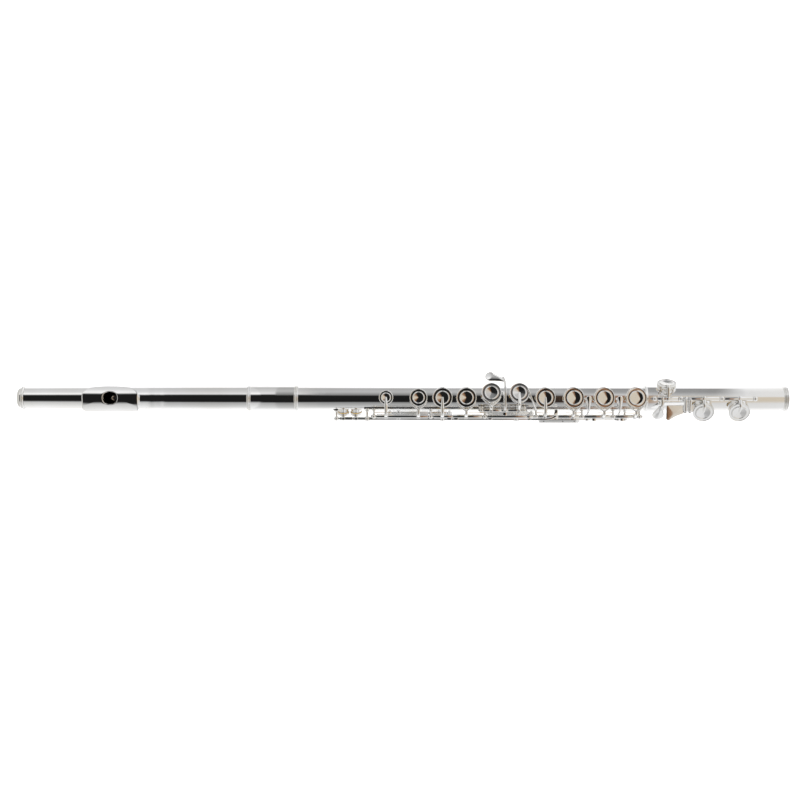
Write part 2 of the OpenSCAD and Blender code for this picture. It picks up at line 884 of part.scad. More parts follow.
roller_r = 1.6;
roller_len = 11;
roller_hole_r = 0.65;
pin_r = 0.6;
roller_place = [-6.4, 15.6];
roller_tilt = 25;
touch_z = -roller_r - 0.9;

// Frame along a foot roller, with +Y along its axis
module at_roller(x) {
    translate([x, roller_place.x, roller_place.y]) rotate([roller_tilt, 0, 0]) children();
}

module roller(x) {
    color(silver) at_roller(x) rotate([90, 0, 0]) difference() {
        cylinder(h = roller_len, r = roller_r, center = true);
        cylinder(h = roller_len + far, r = roller_hole_r, center = true);
    }
}

// Bed, two ears and the pin that carry a roller, with a touch plate along one side
module roller_fork(x, plate_x0, plate_x1) {
    ear = 0.9;
    half = roller_len / 2 + 0.1;
    at_roller(x) {
        rotate([90, 0, 0]) cylinder(h = 2 * half + 2 * ear, r = pin_r, center = true, $fn = 32);
        for (s = [-1, 1]) translate([-1.1, s > 0 ? half : -half - ear, touch_z]) cube([2.2, ear, 3.4]);
        translate([-1.3, -half - ear, touch_z - 1]) cube([2.6, 2 * half + 2 * ear, 1]);
        translate([plate_x0 - x, -half - ear, touch_z - 1]) cube([plate_x1 - plate_x0, 6.6, 1]);
    }
}

module low_c_key() {
    color(silver) turned(foot_rod, -foot_open_deg) {
        at_rod(foot_rod) {
            along_x(-94.8, -28.9, steel_r);
            along_x(-92.6, -89.2, hinge_r);
            along_x(-57.1, -33, hinge_r);
        }
        roller_fork(-91.1, -106, -92);
        foot_arm(low_c_x, foot_open_dir, foot_cup_r);
        cup(low_c_x, foot_open_dir, foot_cup_r);
    }
}

module low_c_pad() {
    turned(foot_rod, -foot_open_deg) pad(low_c_x, foot_open_dir, foot_cup_r);
}

module low_c_roller() {
    turned(foot_rod, -foot_open_deg) roller(-91.1);
}

module low_c_sharp_key() {
    color(silver) turned(foot_rod, -foot_open_deg) {
        hinge(foot_rod, -88.9, -61.7);
        clear_bore(foot_rod, -88.9, -61.7) {
            roller_fork(-87.4, -86.4, -84);
            foot_arm(low_c_sharp_x, foot_open_dir, foot_cup_r);
        }
        cup(low_c_sharp_x, foot_open_dir, foot_cup_r);
    }
}

module low_c_sharp_pad() {
    turned(foot_rod, -foot_open_deg) pad(low_c_sharp_x, foot_open_dir, foot_cup_r);
}

module low_c_sharp_roller() {
    turned(foot_rod, -foot_open_deg) roller(-87.4);
}

head_tube();
lip_plate();
embouchure_riser();
crown();
stopper_screw();
stopper_cork();
body_tube();
barrel();
barrel_rings();
tenon_sleeve();
key_ribs();
body_posts();
left_hand_steel();
right_hand_steel();
g_steel();
back_steels();
needle_springs();
c_key();
c_pad();
b_flat_key();
b_flat_pad();
a_key();
a_pad();
g_key();
g_pad();
lower_g_key();
lower_g_pad();
g_sharp_lever();
g_sharp_key();
g_sharp_pad();
f_sharp_key();
f_sharp_pad();
f_key();
f_pad();
e_key();
e_pad();
d_key();
d_pad();
b_flat_side_lever();
thumb_b_key();
thumb_b_pad();
thumb_b_flat_lever();
d_trill_key();
d_trill_pad();
d_sharp_trill_key();
d_sharp_trill_pad();
foot_tube();
foot_socket();
foot_end_ring();
foot_posts();
foot_steel();
foot_springs();
e_flat_key();
e_flat_pad();
low_c_sharp_key();
low_c_sharp_pad();
low_c_sharp_roller();
low_c_key();
low_c_pad();
low_c_roller();
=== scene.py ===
"""Concert flute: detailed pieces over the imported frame. Lengths in this script are millimetres
until a piece is finished, when they become Blender's metres."""

import json
import math

import bmesh
import bpy
from mathutils import Matrix, Vector

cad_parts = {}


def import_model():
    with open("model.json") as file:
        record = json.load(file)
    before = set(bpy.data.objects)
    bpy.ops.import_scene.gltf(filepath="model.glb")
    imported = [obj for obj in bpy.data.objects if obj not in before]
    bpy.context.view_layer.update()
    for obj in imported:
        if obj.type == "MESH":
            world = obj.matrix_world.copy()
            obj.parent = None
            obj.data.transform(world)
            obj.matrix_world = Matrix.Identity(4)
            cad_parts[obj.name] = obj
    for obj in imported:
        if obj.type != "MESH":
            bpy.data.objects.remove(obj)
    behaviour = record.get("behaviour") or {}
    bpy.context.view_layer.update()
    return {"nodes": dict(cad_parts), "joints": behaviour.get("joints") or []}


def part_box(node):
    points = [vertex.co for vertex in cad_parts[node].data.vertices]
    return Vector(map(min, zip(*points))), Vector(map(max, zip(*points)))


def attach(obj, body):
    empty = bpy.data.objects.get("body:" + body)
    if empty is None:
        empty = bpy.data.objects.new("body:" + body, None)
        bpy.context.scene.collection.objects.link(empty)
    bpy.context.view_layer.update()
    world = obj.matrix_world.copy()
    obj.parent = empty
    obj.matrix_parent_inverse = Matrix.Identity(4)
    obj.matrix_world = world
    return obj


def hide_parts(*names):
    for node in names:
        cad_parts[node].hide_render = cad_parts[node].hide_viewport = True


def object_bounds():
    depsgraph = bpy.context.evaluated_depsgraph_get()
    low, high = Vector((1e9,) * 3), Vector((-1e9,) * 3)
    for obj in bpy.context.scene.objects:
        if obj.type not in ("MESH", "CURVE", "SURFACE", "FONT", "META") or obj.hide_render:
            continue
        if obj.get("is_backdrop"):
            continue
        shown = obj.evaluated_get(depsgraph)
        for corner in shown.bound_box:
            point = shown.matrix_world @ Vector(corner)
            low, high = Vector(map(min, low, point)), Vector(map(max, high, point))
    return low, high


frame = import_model()

MM = 0.001
JOINTS = {j["name"]: j for j in frame["joints"]}


# ---------- places taken from the frame ----------

def rod_of(joint):
    """Y and Z of the rod that a joint turns on."""
    return [c / MM for c in JOINTS[joint]["pos_m"][1:]]


def middle(node):
    low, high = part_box(node)
    return (low + high) / (2 * MM)


def span(node):
    """Lowest and highest X of a node."""
    low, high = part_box(node)
    return low.x / MM, high.x / MM


MAIN = rod_of("a_press")
G = rod_of("g_press")
TRILL = rod_of("d_trill_open")
BACK = rod_of("thumb_b_press")
FOOT = rod_of("low_c_press")

TUBE_R = 9.9
RIB_R = 10.7
RIM_Z = 12.3
CUP_TOP = RIM_Z + 3.3
HINGE_R = 1.75
TRILL_R = 1.6
STEEL_R = 0.95
CUP_R = 8.7
RIGHT_CUP_R = 9.0
FOOT_CUP_R = 9.3
INDEX_CUP_R = 7.7
SMALL_CUP_R = 6.2
TRILL_CUP_R = 5.2
MAIN_DIR = 8
G_DIR = 24
BACK_DIR = 180
TRILL_DIR = -115
FOOT_DIR = -48
FOOT_FAR_DIR = 64
OPEN = 8.2
G_OPEN = 10
THUMB_OPEN = 8
FOOT_OPEN = 13


def turn(rod, degrees):
    """Turns a key about its rod."""
    there = Matrix.Translation((0, rod[0], rod[1]))
    return there @ Matrix.Rotation(math.radians(degrees), 4, "X") @ there.inverted()


def facing(x, direction):
    """Frame whose Z points away from the tube, in degrees from +Z towards +Y."""
    return Matrix.Translation((x, 0, 0)) @ Matrix.Rotation(math.radians(-direction), 4, "X")


def local(rod, direction):
    """Where a rod lies in the frame that facing() gives."""
    a = math.radians(direction)
    y, z = rod
    return Vector((y * math.cos(a) - z * math.sin(a), y * math.sin(a) + z * math.cos(a)))


# ---------- mesh tools ----------

def rounded(points, radius, closed=False, steps=4):
    """The 2-D outline with each corner turned into a small curve."""
    pts = [Vector(p) for p in points]
    n = len(pts)
    out = []
    for i, p in enumerate(pts):
        if not closed and i in (0, n - 1):
            out.append(p)
            continue
        before, after = pts[i - 1] - p, pts[(i + 1) % n] - p
        cut = min(radius, 0.45 * before.length, 0.45 * after.length)
        a, b = p + before.normalized() * cut, p + after.normalized() * cut
        for k in range(steps + 1):
            t = k / steps
            out.append((1 - t) ** 2 * a + 2 * t * (1 - t) * p + t * t * b)
    return out


def smooth_path(points, steps=6):
    """Curve through 3-D points."""
    pts = [Vector(p) for p in points]
    pts = [2 * pts[0] - pts[1]] + pts + [2 * pts[-1] - pts[-2]]
    out = []
    for i in range(1, len(pts) - 2):
        a, b, c, d = pts[i - 1:i + 3]
        for k in range(steps):
            t = k / steps
            out.append(0.5 * (2 * b + (c - a) * t + (2 * a - 5 * b + 4 * c - d) * t * t
                              + (3 * b - a - 3 * c + d) * t ** 3))
    return out + [pts[-2]]


def between(values, t):
    """Value at t, from 0 to 1, along evenly spaced values."""
    place = t * (len(values) - 1)
    i = min(int(place), len(values) - 2)
    return values[i] + (values[i + 1] - values[i]) * (place - i)


def oval(a, b, power=2.0, count=96):
    out = []
    for i in range(count):
        t = math.tau * i / count
        c, s = math.cos(t), math.sin(t)
        out.append(Vector((math.copysign(a * abs(c) ** (2 / power), c),
                           math.copysign(b * abs(s) ** (2 / power), s))))
    return out


class Piece:
    """One mesh, made of closed shells."""

    def __init__(self, name):
        self.name = name
        self.bm = bmesh.new()

    def loft(self, rings, place=Matrix(), closed=False):
        """Skins a row of rings. A ring of one point closes an end, and other open ends get a cap."""
        made = [[self.bm.verts.new(place @ Vector(p)) for p in ring] for ring in rings]
        pairs = list(zip(made, made[1:])) + ([(made[-1], made[0])] if closed else [])
        faces = []
        for a, b in pairs:
            n = max(len(a), len(b))
            for i in range(n):
                j = (i + 1) % n
                if len(a) == 1:
                    corners = [a[0], b[j], b[i]]
                elif len(b) == 1:
                    corners = [a[i], a[j], b[0]]
                else:
                    corners = [a[i], a[j], b[j], b[i]]
                faces.append(self.bm.faces.new(corners))
        if not closed:
            faces += [self.bm.faces.new(ring) for ring in (made[0], made[-1]) if len(ring) > 1]
        bmesh.ops.recalc_face_normals(self.bm, faces=faces)

    def lathe(self, profile, place=Matrix(), closed=False, steps=72):
        """Turns [radius, height] points about Z. A point may add the X and Y of its ring's centre."""
        rings = []
        for r, h, *shift in profile:
            cx, cy = shift or (0, 0)
            if r < 1e-6:
                rings.append([Vector((cx, cy, h))])
            else:
                rings.append([Vector((cx + r * math.cos(math.tau * i / steps),
                                      cy + r * math.sin(math.tau * i / steps), h)) for i in range(steps)])
        self.loft(rings, place, closed)

    def lathe_x(self, profile, closed=True, rod=(0, 0), steps=96, radius=0.12):
        """Turns [x, radius] points about a line along X, with soft corners."""
        along = Matrix.Translation((0, rod[0], rod[1])) @ Matrix.Rotation(math.pi / 2, 4, "Y")
        self.lathe([(p[1], p[0]) for p in rounded(profile, radius, closed)], along, closed, steps)

    def sweep(self, path, half_widths, half_thicks, place=Matrix(), across=(1, 0, 0), power=2.6, count=20,
              steps=6):
        """A rounded bar along a path. Its width lies along across."""
        pts = smooth_path(path, steps)
        last = len(pts) - 1
        section = oval(1, 1, power, count)
        rings = []
        for i, p in enumerate(pts):
            tangent = (pts[min(i + 1, last)] - pts[max(i - 1, 0)]).normalized()
            side = Vector(across) - tangent * tangent.dot(Vector(across))
            side.normalize()
            up = side.cross(tangent)
            w, t = between(half_widths, i / last), between(half_thicks, i / last)

            def ring(scale, shift):
                centre = p + tangent * shift
                if scale < 1e-4:
                    return [centre]
                return [centre + side * (c.x * w * scale) + up * (c.y * t * scale) for c in section]
            ends = [(math.sqrt(max(0, 1 - u * u)), u * min(w, t) * 0.8) for u in (1, 0.92, 0.7, 0.4)]
            if i == 0:
                rings += [ring(s, -d) for s, d in ends]
            rings.append(ring(1, 0))
            if i == last:
                rings += [ring(s, d) for s, d in reversed(ends)]
        self.loft(rings, place)

    def pillow(self, outline, thick, crown, place=Matrix(), edge=0.35):
        """A touch piece: crowned on top, rounded at its edge and a little hollow below."""
        centre = sum(outline, Vector((0, 0))) / len(outline)
        reach = max((p - centre).length for p in outline)

        def ring(t, z):
            return [Vector((*(centre + (p - centre) * t), z)) for p in outline]
        inset = edge / reach
        rings = [[Vector((*centre, crown))]]
        rings += [ring(t, crown * (1 - t * t)) for t in (0.2, 0.4, 0.6, 0.8, 1 - 2 * inset, 1 - inset)]
        rings += [ring(1 - 0.3 * inset, -edge * 0.3), ring(1, -edge), ring(1, -thick + edge),
                  ring(1 - 0.3 * inset, -thick + edge * 0.3), ring(1 - inset, -thick)]
        rings += [ring(t, -thick + 0.15 * (1 - t)) for t in (0.6, 0.3)] + [[Vector((*centre, -thick + 0.15))]]
        self.loft(rings, place)

    def done(self, body, paint, nodes=(), slot=None, sharp=50):
        bmesh.ops.scale(self.bm, vec=(MM, MM, MM), verts=self.bm.verts)
        mesh = bpy.data.meshes.new(self.name)
        self.bm.to_mesh(mesh)
        self.bm.free()
        mesh.polygons.foreach_set("use_smooth", [True] * len(mesh.polygons))
        mesh.set_sharp_from_angle(angle=math.radians(sharp))
        mesh.materials.append(paint)
        obj = bpy.data.objects.new(self.name, mesh)
        bpy.context.scene.collection.objects.link(obj)
        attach(obj, body)
        if nodes:
            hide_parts(*nodes)
        return obj


# ---------- materials ----------

def new_material(name):
    mat = bpy.data.materials.new(name)
    mat.use_nodes = True
    tree = mat.node_tree
    return mat, tree, tree.nodes["Principled BSDF"]


def noise(tree, scale, detail=3, stretch=(1, 1, 1)):
    """Noise in object space, stretched along an axis."""
    place = tree.nodes.new("ShaderNodeTexCoord")
    mapping = tree.nodes.new("ShaderNodeMapping")
    mapping.inputs["Scale"].default_value = stretch
    tree.links.new(place.outputs["Object"], mapping.inputs["Vector"])
    node = tree.nodes.new("ShaderNodeTexNoise")
    node.inputs["Scale"].default_value = scale
    node.inputs["Detail"].default_value = detail
    tree.links.new(mapping.outputs["Vector"], node.inputs["Vector"])
    return node


def ramp(tree, source, stops):
    node = tree.nodes.new("ShaderNodeValToRGB")
    while len(node.color_ramp.elements) < len(stops):
        node.color_ramp.elements.new(0.5)
    for element, (place, colour) in zip(node.color_ramp.elements, stops):
        element.position = place
        element.color = (*colour, 1)
    tree.links.new(source, node.inputs["Fac"])
    return node


def bump(tree, shader, source, strength, distance):
    node = tree.nodes.new("ShaderNodeBump")
    node.inputs["Strength"].default_value = strength
    node.inputs["Distance"].default_value = distance
    tree.links.new(source, node.inputs["Height"])
    tree.links.new(node.outputs["Normal"], shader.inputs["Normal"])


def grey(v):
    return (v, v, v)


def metal(name, dull, bright, rough, tarnish_scale=60, polish=0.02, brush=(1, 1, 1)):
    """Polished metal: faint tarnish in its colour, wiping marks in its gloss and hairlines as bump."""
    mat, tree, shader = new_material(name)
    shader.inputs["Metallic"].default_value = 1
    tint = ramp(tree, noise(tree, tarnish_scale).outputs["Fac"], [(0.3, dull), (0.6, bright)])
    tree.links.new(tint.outputs["Color"], shader.inputs["Base Color"])
    wipe = ramp(tree, noise(tree, 90, 4).outputs["Fac"], [(0.3, grey(rough)), (0.75, grey(rough + 0.05))])
    tree.links.new(wipe.outputs["Color"], shader.inputs["Roughness"])
    bump(tree, shader, noise(tree, 1500, 2, brush).outputs["Fac"], polish, 0.00001)
    return mat


SILVER = metal("silver_plate", (0.90, 0.89, 0.86), (0.96, 0.96, 0.96), 0.045)
SILVER_TUBE = metal("silver_tube", (0.91, 0.90, 0.88), (0.96, 0.96, 0.96), 0.035, 25, 0.015, (1, 0.02, 0.02))
STEEL = metal("rod_steel", (0.42, 0.42, 0.43), (0.55, 0.55, 0.56), 0.16, 200, 0.05, (0.05, 1, 1))
# Riser metal in dark brown: painted shade, standing in for the shade and dark reflections inside the
# embouchure hole
PAINTED_SHADE_RISER = metal("riser_painted_shade", (0.10, 0.065, 0.04), (0.22, 0.15, 0.10), 0.22, 250)
GOLD_WIRE = metal("spring_gold", (0.72, 0.45, 0.16), (0.86, 0.60, 0.26), 0.18, 300)


def skin():
    """Yellow pad skin, drawn tight over felt, with fine wrinkles and a duller middle tone."""
    mat, tree, shader = new_material("pad_skin")
    tone = ramp(tree, noise(tree, 350, 4).outputs["Fac"],
                [(0.25, (0.42, 0.24, 0.05)), (0.55, (0.62, 0.42, 0.13)), (0.8, (0.74, 0.56, 0.24))])
    tree.links.new(tone.outputs["Color"], shader.inputs["Base Color"])
    shader.inputs["Roughness"].default_value = 0.42
    shader.inputs["Coat Weight"].default_value = 0.15
    bump(tree, shader, noise(tree, 1800, 5, (1, 1, 0.4)).outputs["Fac"], 0.25, 0.0001)
    return mat


def cork(name, dark, light, scale):
    """Matt cork with its grain in colour and bump."""
    mat, tree, shader = new_material(name)
    grain = noise(tree, scale, 6)
    tone = ramp(tree, grain.outputs["Fac"], [(0.35, dark), (0.6, light)])
    tree.links.new(tone.outputs["Color"], shader.inputs["Base Color"])
    shader.inputs["Roughness"].default_value = 0.85
    bump(tree, shader, grain.outputs["Fac"], 0.5, 0.0002)
    return mat


SKIN = skin()
CORK = cork("stopper_cork_grain", (0.24, 0.12, 0.05), (0.52, 0.33, 0.17), 900)


def paint_node(node, mat):
    obj = frame["nodes"][node]
    if obj.material_slots:
        for s in obj.material_slots:
            s.material = mat
    else:
        obj.data.materials.append(mat)


# ---------- head joint ----------

LIP_X = middle("embouchure_riser").x
LIP_AXIS_Z = 0.9
LIP_R = 13.2
LIP_THICK = 0.8
HOLE_A, HOLE_B = 6.35, 5.75


def lip_point(x, s, height):
    """Point over the lip plate's curved face: x along the tube and s round it, in mm."""
    a = s / LIP_R
    r = LIP_R + height
    return Vector((LIP_X + x, r * math.sin(a), LIP_AXIS_Z + r * math.cos(a)))


def lip_plate():
    """Curved plate with a square near edge, a round far edge and a softly rolled embouchure hole."""
    half, near, away, count = 24.4, 14.4, 11.8, 160
    hole = oval(HOLE_A, HOLE_B, 2.25, count)
    edge = []
    for i in range(count):
        t = math.tau * i / count
        c, s = math.cos(t), math.sin(t)
        depth = away if s > 0 else near
        power = 2.7 + 12 * (-s) ** 0.2 if s < 0 else 2.7 * (1 + (1 - s) ** 6)
        edge.append(Vector((math.copysign(half * abs(c) ** (2 / power), c),
                            math.copysign(depth * abs(s) ** (2 / power), s))))

    def ring(t, height, spread=0.0):
        out = []
        for h, e in zip(hole, edge):
            p = h + (e - h) * t
            p = p + p.normalized() * spread
            out.append(lip_point(p.x, p.y, height))
        return out
    rings = [ring(0, -0.95), ring(0, -0.55), ring(0, -0.28, 0.06), ring(0, -0.1, 0.2),
             ring(0, -0.02, 0.42), ring(0, 0, 0.7)]
    rings += [ring(t, 0) for t in (0.12, 0.25, 0.4, 0.55, 0.7, 0.82, 0.92)]
    rings += [ring(1, 0, -0.3), ring(1, -0.12, -0.08), ring(1, -0.4), ring(1, -0.68, -0.08),
              ring(1, -LIP_THICK, -0.3)]
    rings += [ring(t, -LIP_THICK) for t in (0.8, 0.6, 0.4, 0.2)]
    rings += [ring(0, -LIP_THICK, 1.1), ring(0, -0.95, 0.6)]
    piece = Piece("lip_plate_face")
    piece.loft(rings, closed=True)
    piece.done("head_joint", SILVER_TUBE, ["lip_plate"])


def crown():
    x0, x1 = span("crown")
    seam = x1 - 4.0
    r = 9.1
    piece = Piece("crown_cap")
    piece.lathe_x([(x0, 0), (x0, r - 4.2), (x0 + 0.45, r - 2.2), (x0 + 1.6, r - 0.5), (x0 + 3.2, r),
                   (seam - 2.5, r), (seam - 2.35, r + 0.8), (seam - 1.9, r + 1.25), (seam - 1.2, r + 1.3),
                   (seam - 0.6, r + 1.0), (seam - 0.3, r + 0.3), (seam - 0.1, r), (seam - 0.1, r - 0.6),
                   (x1, r - 0.6), (x1, 2.05), (x0 + 3.0, 2.05), (x0 + 3.0, 0)],
                  closed=False, radius=0.25)
    piece.done("crown_cap", SILVER, ["crown"])


def beads(piece, x0, x1, inside, base, heights):
    """A ring turned as a row of beads of the given heights."""
    n = len(heights)
    w = (x1 - x0) / n
    profile = [(x0, inside), (x0, base)]
    for i, h in enumerate(heights):
        for k in range(1, 8):
            a = math.pi * (1 - k / 8)
            profile.append((x0 + w * (i + 0.5) + w / 2 * math.cos(a), base + h * math.sin(a)))
        profile.append((x0 + w * (i + 1), base))
    profile.append((x1, inside))
    piece.lathe_x(profile, closed=True, radius=0.05)


def barrel():
    x0, x1 = span("barrel_rings")
    r = TUBE_R + 0.7
    for name, a, b in (("upper", x0, x0 + 3.4), ("lower", x1 - 3.4, x1)):
        piece = Piece("barrel_ring_" + name)
        beads(piece, a, b, TUBE_R + 0.05, r - 0.1, (0.5, 0.95, 0.5))
        piece.done("body_joint", SILVER, ["barrel_rings"])
    piece = Piece("barrel_sleeve")
    piece.lathe_x([(x0 + 3.4, TUBE_R + 0.05), (x0 + 3.4, r), (x1 - 3.4, r), (x1 - 3.4, TUBE_R + 0.01)],
                  closed=True, radius=0.1)
    piece.done("body_joint", SILVER_TUBE, ["barrel"])


def foot_ring():
    x0, x1 = span("foot_end_ring")
    piece = Piece("foot_end_beads")
    beads(piece, x0, x1, TUBE_R + 0.01, TUBE_R + 0.3, (0.55, 1.0, 0.7))
    piece.done("foot_joint", SILVER, ["foot_end_ring"])


# ---------- posts, rods and springs ----------

BODY_POSTS = (
    [(x, MAIN, STEEL_R + 0.05) for x in (-359.7, -310.4, -263.5, -219.1, -179.3, -152.3, -129.5)]
    + [(x, G, STEEL_R + 0.05) for x in (-266.6, -229.7)]
    + [(x, TRILL, STEEL_R + 0.05) for x in (-392.4, -141.4)]
    + [(x, TRILL, TRILL_R + 0.05) for x in (-365.6, -300, -236, -184)]
    + [(x, BACK, STEEL_R + 0.05) for x in (-346, -293.6, -262, -222)])
FOOT_POSTS = [(x, FOOT, STEEL_R + 0.05) for x in (-117.3, -94.9, -59.4, -30.7)]


def posts(name, body, node, places):
    """Ball-headed posts: a flared foot, a slim neck and a ball with faced ends round the rod."""
    piece = Piece(name)
    for x, rod, bore in places:
        reach = math.hypot(*rod)
        ball = max(2.1, bore + 0.7)
        neck = 0.95
        start = math.asin(neck / ball)
        profile = [(0, RIB_R - 0.2), (1.9, RIB_R - 0.2), (1.85, RIB_R + 0.25), (1.3, RIB_R + 0.7),
                   (neck, RIB_R + 1.4)]
        for k in range(17):
            a = math.pi - start + (start - math.pi) * k / 16
            profile.append((ball * math.sin(a), reach + ball * math.cos(a)))
        direction = math.degrees(math.atan2(rod[0], rod[1]))
        piece.lathe(rounded(profile, 0.2), facing(x, direction), steps=40)
        for s in (-1, 1):
            face = ball * 0.86
            piece.lathe_x([(x + s * (face - 0.5), 0), (x + s * (face - 0.5), bore + 0.42),
                           (x + s * (face + 0.12), bore + 0.42), (x + s * (face + 0.12), 0)],
                          closed=False, rod=rod, steps=32, radius=0.12)
    piece.done(body, SILVER, [node])


def screw_heads(name, body, slot, places):
    """Slotted ends of the rods, each [x, side, rod]."""
    piece = Piece(name)
    for x, side, rod in places:
        r, deep, half = 1.05, 0.45, 0.17
        place = Matrix.Translation((x, rod[0], rod[1])) @ Matrix.Rotation(side * math.pi / 2, 4, "Y")
        arc = math.asin(half / r)
        for flip in (0, math.pi):
            outline = [Vector((r * math.cos(t + flip), r * math.sin(t + flip))) for t in
                       [arc + (math.pi - 2 * arc) * k / 14 for k in range(15)]]
            rings = [[Vector((*p, 0)) for p in outline], [Vector((*p, deep * 0.8)) for p in outline],
                     [Vector((*(p * 0.92), deep)) for p in outline]]
            piece.loft(rings, place)
        piece.lathe([(0, -0.4), (r, -0.4), (r, 0.02), (0, 0.02)], place, steps=30)
    piece.done(body, STEEL, slot=slot)


def springs(name, body, node, places, reach=13.3):
    """Needle springs, each [x, rod, length]: pointed, and bowed a little where the hook holds them."""
    piece = Piece(name)
    for x, rod, length in places:
        u = Vector((0, *rod)).normalized()
        root = Vector((x, 0, 0)) + u * reach
        end = root + Vector((length, 0, 0))
        bow = u * 0.35
        piece.sweep([root, root.lerp(end, 0.35) + bow, root.lerp(end, 0.7) + bow, end],
                    [0.26, 0.26, 0.22, 0.12], [0.26, 0.26, 0.22, 0.12], across=u, power=2, count=12)
    piece.done(body, GOLD_WIRE, [node])


# ---------- key parts ----------

LEAN_FROM, LEAN_OVER, LEAN_MOST = 232, 150, 0.6


def cup(piece, place, r, lean=0.0):
    """A closed cup: rounded rim, groove, raised ring and a dished middle, hollow below for its pad.
    The lowest point of the dish lies off its centre by lean, a share of the dish's radius."""
    z = RIM_Z
    ring = r - min(3.2, 0.38 * r)
    profile = [(0, z + 2.3), (r - 0.36, z + 2.3), (r - 0.36, z + 0.5), (r - 0.22, z + 0.36),
               (r - 0.04, z + 0.42), (r, z + 0.6), (r, z + 2.4), (r - 0.1, z + 2.8), (r - 0.35, z + 2.95),
               (r - 0.55, z + 2.85), (r - 0.66, z + 2.62), (ring + 0.4, z + 2.62), (ring + 0.3, z + 2.9),
               (ring + 0.14, z + 3.2), (ring, z + 3.27), (ring - 0.14, z + 3.2), (ring - 0.3, z + 3.02)]
    dish, depth = ring - 0.42, 0.36 if lean == 0 else 0.5
    points = [tuple(p) for p in rounded(profile, 0.14)]
    for t in (1, 0.97, 0.8, 0.6, 0.4, 0.2, 0.08, 0):
        shift = dish * lean * (1 - t)
        points.append((dish * t, z + 2.99 - depth * (1 - t), shift, -0.35 * shift))
    piece.lathe(points, place, steps=96)


def pad(name, body, node, place, r, hole):
    """Pad: skin folded round a felt disc, with the ring that the tone hole has pressed into it."""
    z = RIM_Z + 0.07
    edge = r - 0.4
    profile = [(0, z), (hole - 0.5, z), (hole, z + 0.12), (hole + 0.45, z + 0.02),
               (edge - 0.25, z + 0.05), (edge, z + 0.35), (edge, z + 2.15), (0, z + 2.15)]
    piece = Piece(name)
    piece.lathe(rounded(profile, 0.3), place, steps=72)
    piece.done(body, SKIN, [node])
    washer = Piece(name + "_washer")
    w = min(2.6, hole * 0.4)
    washer.lathe(rounded([(0, z - 0.35), (w * 0.45, z - 0.35), (w * 0.5, z - 0.2), (w, z - 0.12),
                          (w, z + 0.1), (0, z + 0.1)], 0.12), place, steps=36)
    washer.done(body, SILVER, slot=node)


def hinge_tube(piece, rod, x0, x1, r=HINGE_R, bore=STEEL_R + 0.05):
    piece.lathe_x([(x0, bore), (x0, r), (x1, r), (x1, bore)], closed=True, rod=rod, steps=40, radius=0.18)


def inner_steel(piece, rod, x0, x1):
    """The steel that a key turns with, where one key's steel runs inside another's tube."""
    piece.lathe_x([(x0, 0), (x0, STEEL_R), (x1, STEEL_R), (x1, 0)], closed=False, rod=rod, steps=32)


def collar(piece, rod, x, half=1.7, r=HINGE_R):
    """Where an arm is soldered round its hinge tube."""
    piece.lathe_x([(x - half, r - 0.05), (x - half + 0.3, r + 0.38), (x + half - 0.3, r + 0.38),
                   (x + half, r - 0.05)], closed=True, rod=rod, steps=40, radius=0.2)


def pointed_arm(piece, place, direction, r, rod):
    """Arm that rises from the rod and ends in a point in the middle of the cup."""
    p = local(rod, direction)
    top = CUP_TOP
    piece.sweep([(0, p.x, p.y + 1.1), (0, p.x + 0.05, p.y + 4.2), (0, p.x + 1.5, top - 0.9),
                 (0, -r - 2.2, top + 0.55), (0, -r + 1.2, top + 0.3), (0, -r * 0.45, top - 0.05),
                 (0, 0.2, top - 0.5)],
                [1.7, 1.5, 1.4, 1.4, 1.35, 1.15, 0.8], [1.0, 0.95, 0.9, 0.85, 0.8, 0.7, 0.5],
                place, power=1.7)


def forked_arm(piece, place, direction, r, rod):
    """Arm that splits into two prongs round the cup's edge."""
    p = local(rod, direction)
    z = RIM_Z + 1.55
    fork = -r - 3.2
    piece.sweep([(0, p.x, p.y + 1.1), (0, p.x + 0.1, p.y + 3.6), (0, p.x + 1.6, z - 0.7),
                 (0, fork - 1.2, z + 0.1), (0, fork + 0.9, z)],
                [1.7, 1.4, 1.3, 1.3, 1.0], [1.0, 0.95, 0.9, 0.85, 0.75], place, power=1.8)
    for s in (-1, 1):
        piece.sweep([(s * 0.35, fork - 1.0, z), (s * 0.95, fork + 0.9, z), (s * r * 0.44, -r * 1.03, z),
                     (s * r * 0.74, -r * 0.74, z - 0.05), (s * r * 0.94, -r * 0.42, z - 0.1)],
                    [0.75, 0.72, 0.62, 0.55, 0.4], [0.75, 0.75, 0.75, 0.7, 0.5], place,
                    across=(0.9, 0.4 * s, 0), power=2)


def teardrop(length, r, tail, count=48):
    """Teardrop outline with its tail towards -Y."""
    out = []
    neck = r - length
    for i in range(count):
        t = i / (count - 1)
        a = math.radians(-18 + 216 * t)
        out.append(Vector((r * math.cos(a), r * math.sin(a))))
    start, end = out[-1], out[0]
    left, right = Vector((-tail, neck + tail)), Vector((tail, neck + tail))
    for k in range(1, 14):
        t = k / 14
        out.append((1 - t) ** 2 * start + 2 * t * (1 - t) * Vector((-r * 0.62, neck * 0.45)) + t * t * left)
    for k in range(0, 11):
        a = math.pi + math.pi * k / 10
        out.append(Vector((tail * math.cos(a), neck + tail + tail * math.sin(a))))
    for k in range(13, 0, -1):
        t = k / 14
        out.append((1 - t) ** 2 * end + 2 * t * (1 - t) * Vector((r * 0.62, neck * 0.45)) + t * t * right)
    return out


